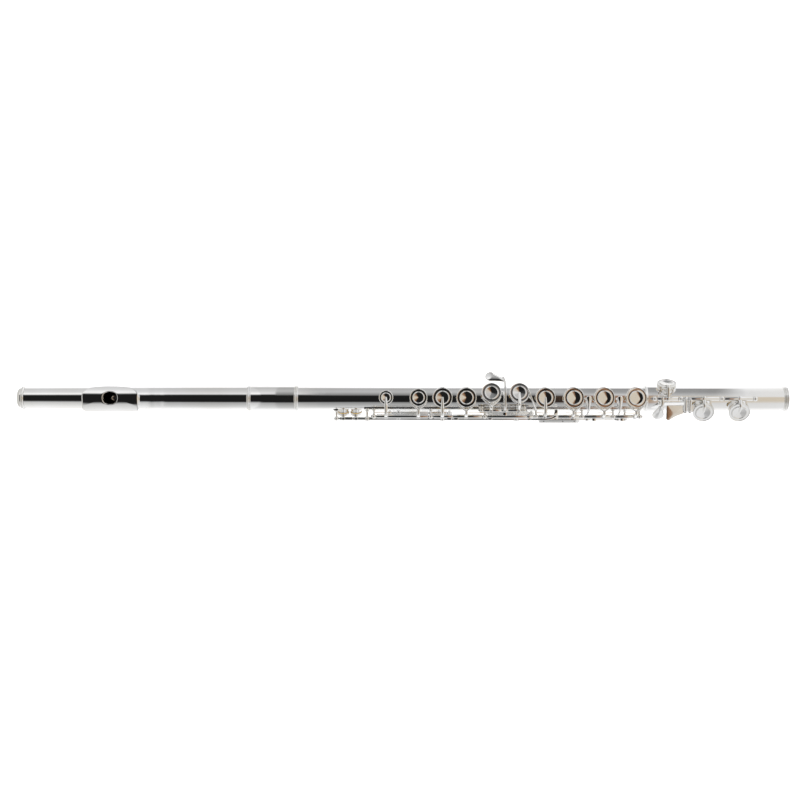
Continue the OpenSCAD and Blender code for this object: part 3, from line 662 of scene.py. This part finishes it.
def lug(piece, rod, x0, x1, degrees, reach=3.4, thick=1.0):
    """Small tail on a hinge tube, where keys meet through an adjusting screw."""
    x = (x0 + x1) / 2
    a = math.radians(degrees)
    out = Vector((0, math.cos(a), math.sin(a)))
    base = Vector((x, rod[0], rod[1]))
    heights = (HINGE_R - 0.5, HINGE_R + reach * 0.5, HINGE_R + reach - 0.5)
    piece.sweep([base + out * h for h in heights], [(x1 - x0) / 2] * 3, [thick / 2] * 3, power=6)


def full_key(node, body, rod, tube, cups, angle, lugs=()):
    """A key with one hinge tube, and the pads of its cups. Each cup is [X, direction, radius,
    tone hole radius, arm, pad node]."""
    turned = turn(rod, angle)
    piece = Piece(node + "_casting")
    hinge_tube(piece, rod, *tube)
    for x, direction, r, hole, arm, pad_node in cups:
        place = turned @ facing(x, direction)
        cup(piece, place, r, min(max((x + LEAN_FROM) / LEAN_OVER, 0), LEAN_MOST))
        arm(piece, place, direction, r, rod)
        collar(piece, rod, x)
        if pad_node:
            pad(pad_node + "_skin", body, pad_node, place, r, hole)
    for l in lugs:
        lug(piece, rod, *l)
    return piece


HOLE_R, RIGHT_HOLE_R, FOOT_HOLE_R, SMALL_HOLE_R, TRILL_HOLE_R = 7.6, 7.9, 8.2, 4.0, 3.9


def main_keys():
    def x(node):
        return middle(node).x
    keys = [
        ("c_key", "c_touch", MAIN, (-357.4, -312.8),
         [(x("c_pad"), MAIN_DIR, SMALL_CUP_R, SMALL_HOLE_R, pointed_arm, "c_pad"),
          (-321.2, MAIN_DIR, INDEX_CUP_R, 0, forked_arm, None)], OPEN, [(-340, -337, 200 + OPEN, 2.0)]),
        ("b_flat_key", "b_flat", MAIN, (-308, -291.4),
         [(x("b_flat_pad"), MAIN_DIR, CUP_R, HOLE_R, pointed_arm, "b_flat_pad")], OPEN,
         [(-296.5, -292, 160 + OPEN, 1.5)]),
        ("a_key", "a", MAIN, (-291.1, -265.9),
         [(x("a_pad"), MAIN_DIR, CUP_R, HOLE_R, forked_arm, "a_pad")], OPEN,
         [(-290.6, -286.4, 160 + OPEN, 1.5)]),
        ("g_key", "g", G, (-264.2, -249.3),
         [(x("g_pad"), G_DIR, CUP_R, HOLE_R, forked_arm, "g_pad")], G_OPEN, []),
        ("f_key", "f", MAIN, (-199.7, -181.6),
         [(x("f_pad"), MAIN_DIR, RIGHT_CUP_R, RIGHT_HOLE_R, forked_arm, "f_pad")], OPEN, []),
        ("e_key", "e", MAIN, (-177, -154.6),
         [(x("e_pad"), MAIN_DIR, RIGHT_CUP_R, RIGHT_HOLE_R, forked_arm, "e_pad")], OPEN,
         [(-170.5, -167, 175 + OPEN, 2.2)]),
        ("d_key", "d", MAIN, (-150, -131.8),
         [(x("d_pad"), MAIN_DIR, RIGHT_CUP_R, RIGHT_HOLE_R, forked_arm, "d_pad")], OPEN,
         [(-146, -142.5, 175 + OPEN, 2.2)]),
    ]
    for node, body, rod, tube, cups, angle, lugs in keys:
        full_key(node, body, rod, tube, cups, angle, lugs).done(body, SILVER, [node])


def lower_g_key():
    """Offset cup with the long curved arm that crosses the tube to the E key."""
    piece = full_key("lower_g_key", "lower_g", G, (-243.4, -232.1),
                     [(middle("lower_g_pad").x, G_DIR, CUP_R, HOLE_R, pointed_arm, "lower_g_pad")], G_OPEN)
    across = (turn(G, G_OPEN) @ Matrix.Translation((-223, -0.5, 0))
              @ Matrix.Rotation(math.radians(21.6), 4, "Z"))
    piece.sweep([(0, 9.9, 13.5), (0, 6.2, 14.2), (0, 1.0, 14.4), (0, -4.6, 12.9), (0, -10.2, 9.9)],
                [0.62, 0.7, 0.7, 0.7, 0.8], [0.62, 0.6, 0.6, 0.6, 0.6], across)
    piece.done("lower_g", SILVER, ["lower_g_key"])


def f_sharp_key():
    piece = full_key("f_sharp_key", "f_sharp", MAIN, (-216.8, -200),
                     [(middle("f_sharp_pad").x, MAIN_DIR, CUP_R, HOLE_R, pointed_arm, "f_sharp_pad")], OPEN)
    y, z = MAIN
    bar = turn(MAIN, OPEN)
    piece.sweep([(-216.3, y - 3.8, z), (-199, y - 3.8, z), (-182.2, y - 3.8, z)], [1.9] * 3, [0.7] * 3, bar,
                across=(0, 0.86, 0.5), power=4)
    for x in (-214, -202.5):
        piece.sweep([(x, y - 1.3, z), (x, y - 2.6, z)], [1.5] * 2, [0.5] * 2, bar, power=6)
    piece.done("f_sharp", SILVER, ["f_sharp_key"])
    screws = Piece("f_sharp_adjusting_screws")
    for x in (-212.5, -196, -186):
        screws.lathe(rounded([(0, -0.9), (0.62, -0.9), (0.62, 0.75), (0.5, 0.95), (0, 0.95)], 0.1),
                     bar @ Matrix.Translation((x, y - 4, z)), steps=24)
    screws.done("f_sharp", STEEL, slot="f_sharp_key")


def side_lever():
    piece = Piece("side_lever_casting")
    hinge_tube(piece, MAIN, -261.2, -221.4)
    collar(piece, MAIN, -225.5, 1.9)
    y, z = MAIN
    piece.sweep([(-225.5, y - 0.3, z + 1.2), (-225.4, y - 1.4, z + 2.9), (-223.8, -17.9, 11.2)],
                [1.3, 1.1, 0.8], [0.7, 0.7, 0.6])
    piece.sweep([(-226.8, -18.0, 11.2), (-218, -17.9, 11.3), (-208.5, -17.6, 11.3), (-203.6, -15.9, 11.3),
                 (-202.3, -12.6, 11.4), (-202.1, -9.8, 11.3)],
                [0.62, 0.7, 0.8, 1.15, 1.75, 1.5], [0.5, 0.5, 0.5, 0.55, 0.6, 0.5], across=(0.35, 1, 0))
    lug(piece, MAIN, -260.8, -257, 165, 1.5)
    piece.done("side_b_flat", SILVER, ["b_flat_side_lever"])


def g_sharp_parts():
    x = -246.3
    piece = Piece("g_sharp_lever_casting")
    hinge_tube(piece, G, -249, -243.7)
    collar(piece, G, x, 1.5)
    piece.sweep([(x, G[0], G[1] + 1.2), (x, -8.6, 13.9), (x, -3.5, 15.7), (x, 3.5, 16.1), (x, 10, 14.8),
                 (x - 0.4, 15, 12.9), (x - 1.8, 18.4, 10.7)],
                [1.35, 1.1, 0.95, 0.9, 0.95, 1.0, 1.1], [0.85, 0.8, 0.75, 0.75, 0.7, 0.6, 0.5])
    touch = (Matrix.Translation((-259.0, 19.4, 9.6)) @ Matrix.Rotation(math.radians(-34), 4, "X")
             @ Matrix.Rotation(math.radians(72), 4, "Z"))
    piece.pillow(teardrop(18, 4.4, 1.5), 1.2, 1.0, touch)
    lug(piece, G, -248, -244.6, 187, 3)
    piece.done("g_sharp_touch", SILVER, ["g_sharp_lever"])
    piece = full_key("g_sharp_key", "g_sharp", BACK, (-259.6, -224.4), [], 0)
    place = facing(middle("g_sharp_pad").x, BACK_DIR)
    cup(piece, place, CUP_R)
    back_arm(piece, middle("g_sharp_pad").x, -CUP_R + 0.1, -RIM_Z - 1.5)
    pad("g_sharp_pad_skin", "g_sharp", "g_sharp_pad", place, CUP_R, HOLE_R)
    lug(piece, BACK, -248, -244.6, 150, 3)
    piece.done("g_sharp", SILVER, ["g_sharp_key"])


def back_arm(piece, x, y_end, z_end, place=Matrix()):
    """Arm from the rod on the back to a cup or touch under the tube."""
    y, z = BACK
    collar(piece, BACK, x)
    piece.sweep([(x, y, z - 1.2), (x, y + 0.1, z - 3.6), (x, (y + y_end) / 2 - 0.6, z_end - 0.2),
                 (x, y_end, z_end)], [1.5, 1.4, 1.35, 1.3], [0.85, 0.8, 0.75, 0.7], place)


def thumb_keys():
    turned = turn(BACK, -THUMB_OPEN)
    x = middle("thumb_b_pad").x
    piece = Piece("thumb_b_casting")
    hinge_tube(piece, BACK, -343.7, -312)
    place = turned @ facing(x, BACK_DIR)
    cup(piece, place, CUP_R)
    back_arm(piece, x, -CUP_R + 0.1, -RIM_Z - 1.5, turned)
    back_arm(piece, -338.5, -3.5, -14.9, turned)
    under = Matrix.Rotation(math.pi, 4, "Y")
    piece.pillow(teardrop(12, 5.6, 2.6), 1.2, 0.6, turned @ Matrix.Translation((-338.5, 1.5, -15.4)) @ under)
    piece.done("thumb_b", SILVER, ["thumb_b_key"])
    pad("thumb_b_pad_skin", "thumb_b", "thumb_b_pad", place, CUP_R, HOLE_R)
    piece = Piece("thumb_b_flat_casting")
    hinge_tube(piece, BACK, -311.7, -295.9)
    back_arm(piece, -302.9, -3.5, -14.9, turned)
    piece.pillow(teardrop(11, 5, 2.6), 1.2, 0.6, turned @ Matrix.Translation((-302.9, 0.6, -15.4)) @ under)
    piece.done("thumb_b_flat", SILVER, ["thumb_b_flat_lever"])


def trill_key(node, body, pad_node, tubes, touch_x, own_steel=False):
    """Long key over the far side: a small cup at one end and a touch between two finger cups."""
    x = middle(pad_node).x
    piece = Piece(node + "_casting")
    for a, b in tubes:
        hinge_tube(piece, TRILL, a, b, TRILL_R, STEEL_R - 0.05 if own_steel else STEEL_R + 0.05)
    if own_steel:
        inner_steel(piece, TRILL, -394.2, -139.6)
    place = facing(x, TRILL_DIR)
    cup(piece, place, TRILL_CUP_R)
    p = local(TRILL, TRILL_DIR)
    mid = RIM_Z + 1.4
    piece.sweep([(0, p.x, p.y - 1.0), (0, p.x + 0.5, mid - 0.6), (0, (p.x + TRILL_CUP_R) / 2, mid + 0.3),
                 (0, TRILL_CUP_R - 0.2, mid)], [1.2] * 4, [0.7, 0.65, 0.6, 0.55], place)
    collar(piece, TRILL, x, 1.5, TRILL_R)
    collar(piece, TRILL, touch_x, 1.5, TRILL_R)
    y, z = TRILL
    piece.sweep([(touch_x, y + 0.6, z + 0.9), (touch_x, y + 3.0, z + 2.7), (touch_x, -12.4, 6.6),
                 (touch_x, -11.2, 10.6), (touch_x, -9.2, 13.3)],
                [1.1, 1.0, 0.9, 0.9, 0.85], [0.65, 0.6, 0.6, 0.6, 0.55])
    touch = Matrix.Translation((touch_x, -0.4, 15.6)) @ Matrix.Rotation(math.radians(12), 4, "X")
    piece.pillow(teardrop(12.4, 2.7, 1.2), 1.2, 0.9, touch)
    piece.done(body, SILVER, [node])
    pad(pad_node + "_skin", body, pad_node, place, TRILL_CUP_R, TRILL_HOLE_R)


# ---------- foot keys ----------

def foot_arm(piece, place, direction):
    """Arm from the rod on top of the foot down to the middle of a cup on either side."""
    side = math.copysign(1, direction)
    p = local(FOOT, direction)
    top = CUP_TOP
    piece.sweep([(0, p.x, p.y + 1.2), (0, p.x + side * 1.3, (p.y + top) / 2 + 0.8),
                 (0, p.x + side * 3.6, top + 0.5), (0, (p.x + side * 3.6) / 2, top + 0.3),
                 (0, 0, top - 0.45)],
                [1.5, 1.25, 1.1, 0.95, 0.65], [0.9, 0.8, 0.7, 0.6, 0.42], place)


ROLLER_PLACE = (-6.4, 15.6)
ROLLER_TILT = 25
ROLLER_LEN = 11
ROLLER_R = 1.6
WIDE_PLATE = 6


def at_roller(x):
    """Frame of a roller: its Y is the roller's length."""
    return (turn(FOOT, -FOOT_OPEN) @ Matrix.Translation((x, *ROLLER_PLACE))
            @ Matrix.Rotation(math.radians(ROLLER_TILT), 4, "X"))


def roller(name, body, node, x):
    half = ROLLER_LEN / 2
    lie = Matrix.Rotation(math.pi / 2, 4, "X")
    piece = Piece(name)
    outer = [(0.66, -half), (ROLLER_R - 0.5, -half), (ROLLER_R - 0.1, -half + 0.35), (ROLLER_R, -half + 1.0),
             (ROLLER_R, half - 1.0), (ROLLER_R - 0.1, half - 0.35), (ROLLER_R - 0.5, half), (0.66, half)]
    piece.lathe(rounded(outer, 0.25, True), at_roller(x) @ lie, closed=True, steps=48)
    piece.done(body, SILVER, [node])


def roller_fork(piece, x, plate_x0, plate_x1):
    """Axle, two cheeks and the touch plate below a roller."""
    place = at_roller(x)
    half = ROLLER_LEN / 2 + 0.1
    floor_z = -ROLLER_R - 0.9
    piece.sweep([(0, -half - 0.8, 0), (0, 0, 0), (0, half + 0.8, 0)], [0.6] * 3, [0.6] * 3, place, power=2)
    for s in (-1, 1):
        cheek = s * (half + 0.45)
        piece.sweep([(0, cheek, floor_z - 0.6), (0, cheek, -0.8), (0, cheek, 0.45)],
                    [1.2, 1.15, 1.0], [0.45] * 3, place, power=3.5)
    piece.sweep([(0, y, floor_z - 0.5) for y in (-half - 0.7, 0, half + 0.7)], [1.3] * 3, [0.5] * 3, place,
                power=6)
    width, top = plate_x1 - plate_x0, -0.3
    if width > WIDE_PLATE:
        corners = [(width, top), (0, top), (0, -12.8), (width * 0.16, -13.8), (width * 0.5, -10.2),
                   (width, -7.2)]
    else:
        corners = [(width, top), (0, top), (0, -6.4), (width, -6.4)]
    outline = rounded(corners, 1.4, True, 8)
    piece.pillow(outline, 1.0, 0.12, place @ Matrix.Translation((plate_x0 - x, 0, floor_z)), edge=0.3)


def foot_keys():
    closed_place = facing(middle("e_flat_pad").x, FOOT_FAR_DIR)
    piece = Piece("e_flat_casting")
    hinge_tube(piece, FOOT, -114.8, -97.3)
    cup(piece, closed_place, CUP_R)
    foot_arm(piece, closed_place, FOOT_FAR_DIR)
    collar(piece, FOOT, middle("e_flat_pad").x)
    collar(piece, FOOT, -110.9, 1.5)
    piece.sweep([(-110.9, -0.8, 15.4), (-111.0, -4.6, 15.7), (-111.6, -9.0, 13.9), (-112.4, -12.2, 11.2)],
                [1.3, 1.15, 1.2, 1.4], [0.8, 0.7, 0.6, 0.5])
    touch = (Matrix.Translation((-113.6, -14.2, 9.2)) @ Matrix.Rotation(math.radians(42), 4, "X")
             @ Matrix.Rotation(math.radians(168), 4, "Z"))
    piece.pillow(teardrop(15.5, 5.1, 2.4), 1.2, 1.0, touch)
    piece.done("e_flat", SILVER, ["e_flat_key"])
    pad("e_flat_pad_skin", "e_flat", "e_flat_pad", closed_place, CUP_R, HOLE_R)

    for node, body, pad_node, tubes, fork in (
            ("low_c_key", "low_c", "low_c_pad", ((-92.6, -89.2), (-57.1, -33)), (-91.1, -107.2, -92)),
            ("low_c_sharp_key", "low_c_sharp", "low_c_sharp_pad", ((-88.9, -61.7),), (-87.4, -86.4, -84))):
        x = middle(pad_node).x
        place = turn(FOOT, -FOOT_OPEN) @ facing(x, FOOT_DIR)
        piece = Piece(node + "_casting")
        for a, b in tubes:
            hinge_tube(piece, FOOT, a, b)
        if node == "low_c_key":
            inner_steel(piece, FOOT, -94.8, -28.9)
        cup(piece, place, FOOT_CUP_R)
        foot_arm(piece, place, FOOT_DIR)
        collar(piece, FOOT, x)
        roller_fork(piece, *fork)
        piece.done(body, SILVER, [node])
        pad(pad_node + "_skin", body, pad_node, place, FOOT_CUP_R, FOOT_HOLE_R)
    roller("low_c_roller_barrel", "low_c_roll", "low_c_roller", -91.1)
    roller("low_c_sharp_roller_barrel", "low_c_sharp_roll", "low_c_sharp_roller", -87.4)


def tone_hole_beads():
    """Rolled edges on the drawn tone holes, just under their rims."""
    body = [(middle("c_pad").x, MAIN_DIR, SMALL_HOLE_R), (middle("thumb_b_pad").x, BACK_DIR, HOLE_R),
            (middle("b_flat_pad").x, MAIN_DIR, HOLE_R), (middle("a_pad").x, MAIN_DIR, HOLE_R),
            (middle("g_pad").x, G_DIR, HOLE_R), (middle("lower_g_pad").x, G_DIR, HOLE_R),
            (middle("g_sharp_pad").x, BACK_DIR, HOLE_R), (middle("f_sharp_pad").x, MAIN_DIR, HOLE_R),
            (middle("f_pad").x, MAIN_DIR, RIGHT_HOLE_R), (middle("e_pad").x, MAIN_DIR, RIGHT_HOLE_R),
            (middle("d_pad").x, MAIN_DIR, RIGHT_HOLE_R), (middle("d_trill_pad").x, TRILL_DIR, TRILL_HOLE_R),
            (middle("d_sharp_trill_pad").x, TRILL_DIR, TRILL_HOLE_R)]
    foot = [(middle("e_flat_pad").x, FOOT_FAR_DIR, HOLE_R),
            (middle("low_c_sharp_pad").x, FOOT_DIR, FOOT_HOLE_R),
            (middle("low_c_pad").x, FOOT_DIR, FOOT_HOLE_R)]
    for name, joint, slot, holes in (("body_hole_beads", "body_joint", "body_tube", body),
                                     ("foot_hole_beads", "foot_joint", "foot_tube", foot)):
        piece = Piece(name)
        for x, direction, r in holes:
            ring = [(r + 0.3 + 0.33 * math.cos(a), RIM_Z - 0.34 + 0.33 * math.sin(a))
                    for a in [math.tau * k / 12 for k in range(12)]]
            piece.lathe(ring, facing(x, direction), closed=True, steps=72)
        piece.done(joint, SILVER, slot=slot)


for tube in ("head_tube", "body_tube", "foot_tube", "foot_socket", "tenon_sleeve"):
    paint_node(tube, SILVER_TUBE)
# the riser's inner wall gets the painted shade of the embouchure hole's dark inside
paint_node("embouchure_riser", PAINTED_SHADE_RISER)
for part in ("key_ribs", "stopper_screw"):
    paint_node(part, SILVER)
for steel in ("left_hand_steel", "right_hand_steel", "g_steel", "back_steels", "foot_steel"):
    paint_node(steel, STEEL)
paint_node("stopper_cork", CORK)

lip_plate()
crown()
barrel()
foot_ring()
posts("body_post_balls", "body_joint", "body_posts", BODY_POSTS)
posts("foot_post_balls", "foot_joint", "foot_posts", FOOT_POSTS)
springs("body_needle_springs", "body_joint", "needle_springs",
        [(-359.7, MAIN, 15), (-310.4, MAIN, 13), (-263.5, MAIN, -14), (-219.1, MAIN, 13), (-179.3, MAIN, -14),
         (-152.3, MAIN, -14), (-129.5, MAIN, -13)])
springs("foot_needle_springs", "foot_joint", "foot_springs",
        [(-94.9, FOOT, -9), (-59.4, FOOT, -6), (-30.7, FOOT, -4)], 11.6)
screw_heads("body_rod_screws", "body_joint", "left_hand_steel",
            [(-361.9, -1, MAIN), (-127.4, 1, MAIN), (-268.8, -1, G), (-227.5, 1, G)])
screw_heads("foot_rod_screws", "foot_joint", "foot_steel", [(-119.4, -1, FOOT)])
main_keys()
lower_g_key()
f_sharp_key()
side_lever()
g_sharp_parts()
thumb_keys()
trill_key("d_trill_key", "d_trill", "d_trill_pad", [(-378, -171.8)], -174.2)
trill_key("d_sharp_trill_key", "d_sharp_trill", "d_sharp_trill_pad",
          [(-389.6, -378.4), (-150.2, -144.2)], -147.2, own_steel=True)
foot_keys()
tone_hole_beads()


# ---------- floor, light and camera ----------

FLOOR_SIZE = 3
FLOOR_GAP = 0.0005
LAMP_SIZE = 1.2
FLUTE_MIDDLE = Vector((-0.335, 0, 0))
CAMERA_PLACE = (-0.3371, -0.0014, 1.4)
CAMERA_ROLL = 0.0014
CAMERA_LENS = 72.3


def floor():
    """Plain white paper just under the flute."""
    low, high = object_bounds()
    mesh = bpy.data.meshes.new("floor")
    bm = bmesh.new()
    bmesh.ops.create_grid(bm, x_segments=2, y_segments=2, size=FLOOR_SIZE)
    bm.to_mesh(mesh)
    bm.free()
    obj = bpy.data.objects.new("floor", mesh)
    obj.location = ((low[0] + high[0]) / 2, 0, low[2] - FLOOR_GAP)
    bpy.context.scene.collection.objects.link(obj)
    mat, tree, shader = new_material("floor_paper")
    tone = ramp(tree, noise(tree, 30).outputs["Fac"], [(0.3, grey(0.86)), (0.7, grey(0.88))])
    tree.links.new(tone.outputs["Color"], shader.inputs["Base Color"])
    shader.inputs["Roughness"].default_value = 0.8
    shader.inputs["Specular IOR Level"].default_value = 0.1
    shader.inputs["Emission Color"].default_value = (1, 1, 1, 1)
    shader.inputs["Emission Strength"].default_value = 0.55
    mesh.materials.append(mat)
    obj.visible_glossy = False
    obj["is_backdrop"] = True


def world():
    """Studio as the silver sees it: a dark ceiling strip between soft boxes, over grey walls.
    Each ramp gives the tones round the flute's axis, 0 degrees straight up, and lean picks the
    ramp along its length."""
    w = bpy.data.worlds.new("studio")
    bpy.context.scene.world = w
    w.use_nodes = True
    tree = w.node_tree
    out = tree.nodes["Background"]
    place = tree.nodes.new("ShaderNodeTexCoord")
    split = tree.nodes.new("ShaderNodeSeparateXYZ")
    tree.links.new(place.outputs["Generated"], split.inputs["Vector"])

    def math_node(kind, a, b=None):
        node = tree.nodes.new("ShaderNodeMath")
        node.operation = kind
        for socket, value in zip(node.inputs, (a, b)):
            if value is None:
                continue
            if isinstance(value, (int, float)):
                socket.default_value = value
            else:
                tree.links.new(value, socket)
        return node.outputs[0]
    angle = math_node("ARCTAN2", split.outputs["Y"], split.outputs["Z"])
    turnfrac = math_node("ADD", math_node("DIVIDE", angle, math.tau), 0.5)

    def at(degrees):
        return 0.5 + degrees / 360
    def studio(near, ceiling_from, ceiling_to, strip, wall, edge, ceiling=grey(0.012)):
        """Tones round the axis: near wall, ceiling, a strip of light beside it, far wall and its foot."""
        near_foot, near_top = near
        return ramp(tree, turnfrac, [
            (at(-130), grey(1.0)), (at(-100), grey(near_foot)), (at(-48), grey(near_top)),
            (at(ceiling_from), ceiling), (at(ceiling_to), ceiling), (at(ceiling_to + 14), grey(strip)),
            (at(70), grey(wall)), (at(122), grey(edge)), (at(133), grey(1.0))]).outputs["Color"]
    crown_end = studio((0.9, 0.6), -30, 28, 1.0, 0.7, 0.6)
    head = studio((0.7, 0.4), -36, 30, 0.8, 0.65, 0.5)
    walls = studio((0.6, 0.3), -36, 24, 0.25, 0.5, 0.4)
    brown = studio((0.7, 0.4), -38, 24, 0.6, 0.35, 0.3, (0.28, 0.15, 0.08))
    cream = studio((0.8, 0.7), -20, 20, 0.5, 0.3, 0.3, (0.65, 0.58, 0.48))
    bright = studio((0.8, 0.75), -20, 12, 0.8, 0.8, 0.9, (0.65, 0.58, 0.48))
    squares = [math_node("POWER", split.outputs[axis], 2) for axis in "YZ"]
    across = math_node("SQRT", math_node("ADD", *squares))
    lean = math_node("DIVIDE", split.outputs["X"], math_node("MAXIMUM", across, 0.02))

    def blend(low, high, a, b):
        reach = tree.nodes.new("ShaderNodeMapRange")
        reach.inputs["From Min"].default_value = low
        reach.inputs["From Max"].default_value = high
        tree.links.new(lean, reach.inputs["Value"])
        mix = tree.nodes.new("ShaderNodeMix")
        mix.data_type = "RGBA"
        tree.links.new(reach.outputs["Result"], mix.inputs["Factor"])
        tree.links.new(a, mix.inputs["A"])
        tree.links.new(b, mix.inputs["B"])
        return mix.outputs["Result"]
    side = tree.nodes.new("ShaderNodeRGB")
    side.outputs[0].default_value = (0.62, 0.61, 0.59, 1)
    far_left = blend(-0.62, -0.5, side.outputs[0], crown_end)
    near_lip = blend(-0.163, -0.157, far_left, head)
    left = blend(-0.062, -0.052, near_lip, walls)
    middle_part = blend(0.1, 0.118, left, brown)
    right = blend(0.150, 0.165, middle_part, cream)
    foot_end = blend(0.2, 0.215, right, bright)
    tree.links.new(foot_end, out.inputs["Color"])
    out.inputs["Strength"].default_value = 1.0


def lamps():
    """Soft fill that lights the floor and pads but doesn't show in the silver."""
    for name, place, power in (("left_fill", (-0.9, -0.5, 1.2), 16), ("right_fill", (0.3, 0.6, 1.2), 14)):
        lamp = bpy.data.lights.new(name, "AREA")
        lamp.size = LAMP_SIZE
        lamp.energy = power
        obj = bpy.data.objects.new(name, lamp)
        obj.location = place
        obj.rotation_euler = (FLUTE_MIDDLE - Vector(place)).to_track_quat("-Z", "Y").to_euler()
        obj.visible_glossy = False
        bpy.context.scene.collection.objects.link(obj)


def camera():
    """Straight above the flute."""
    data = bpy.data.cameras.new("camera")
    data.sensor_width = 36
    data.lens = CAMERA_LENS
    obj = bpy.data.objects.new("camera", data)
    obj.location = CAMERA_PLACE
    obj.rotation_euler.z = CAMERA_ROLL
    bpy.context.scene.collection.objects.link(obj)
    bpy.context.scene.camera = obj


floor()
world()
lamps()
camera()
bpy.context.scene.view_settings.view_transform = "Standard"
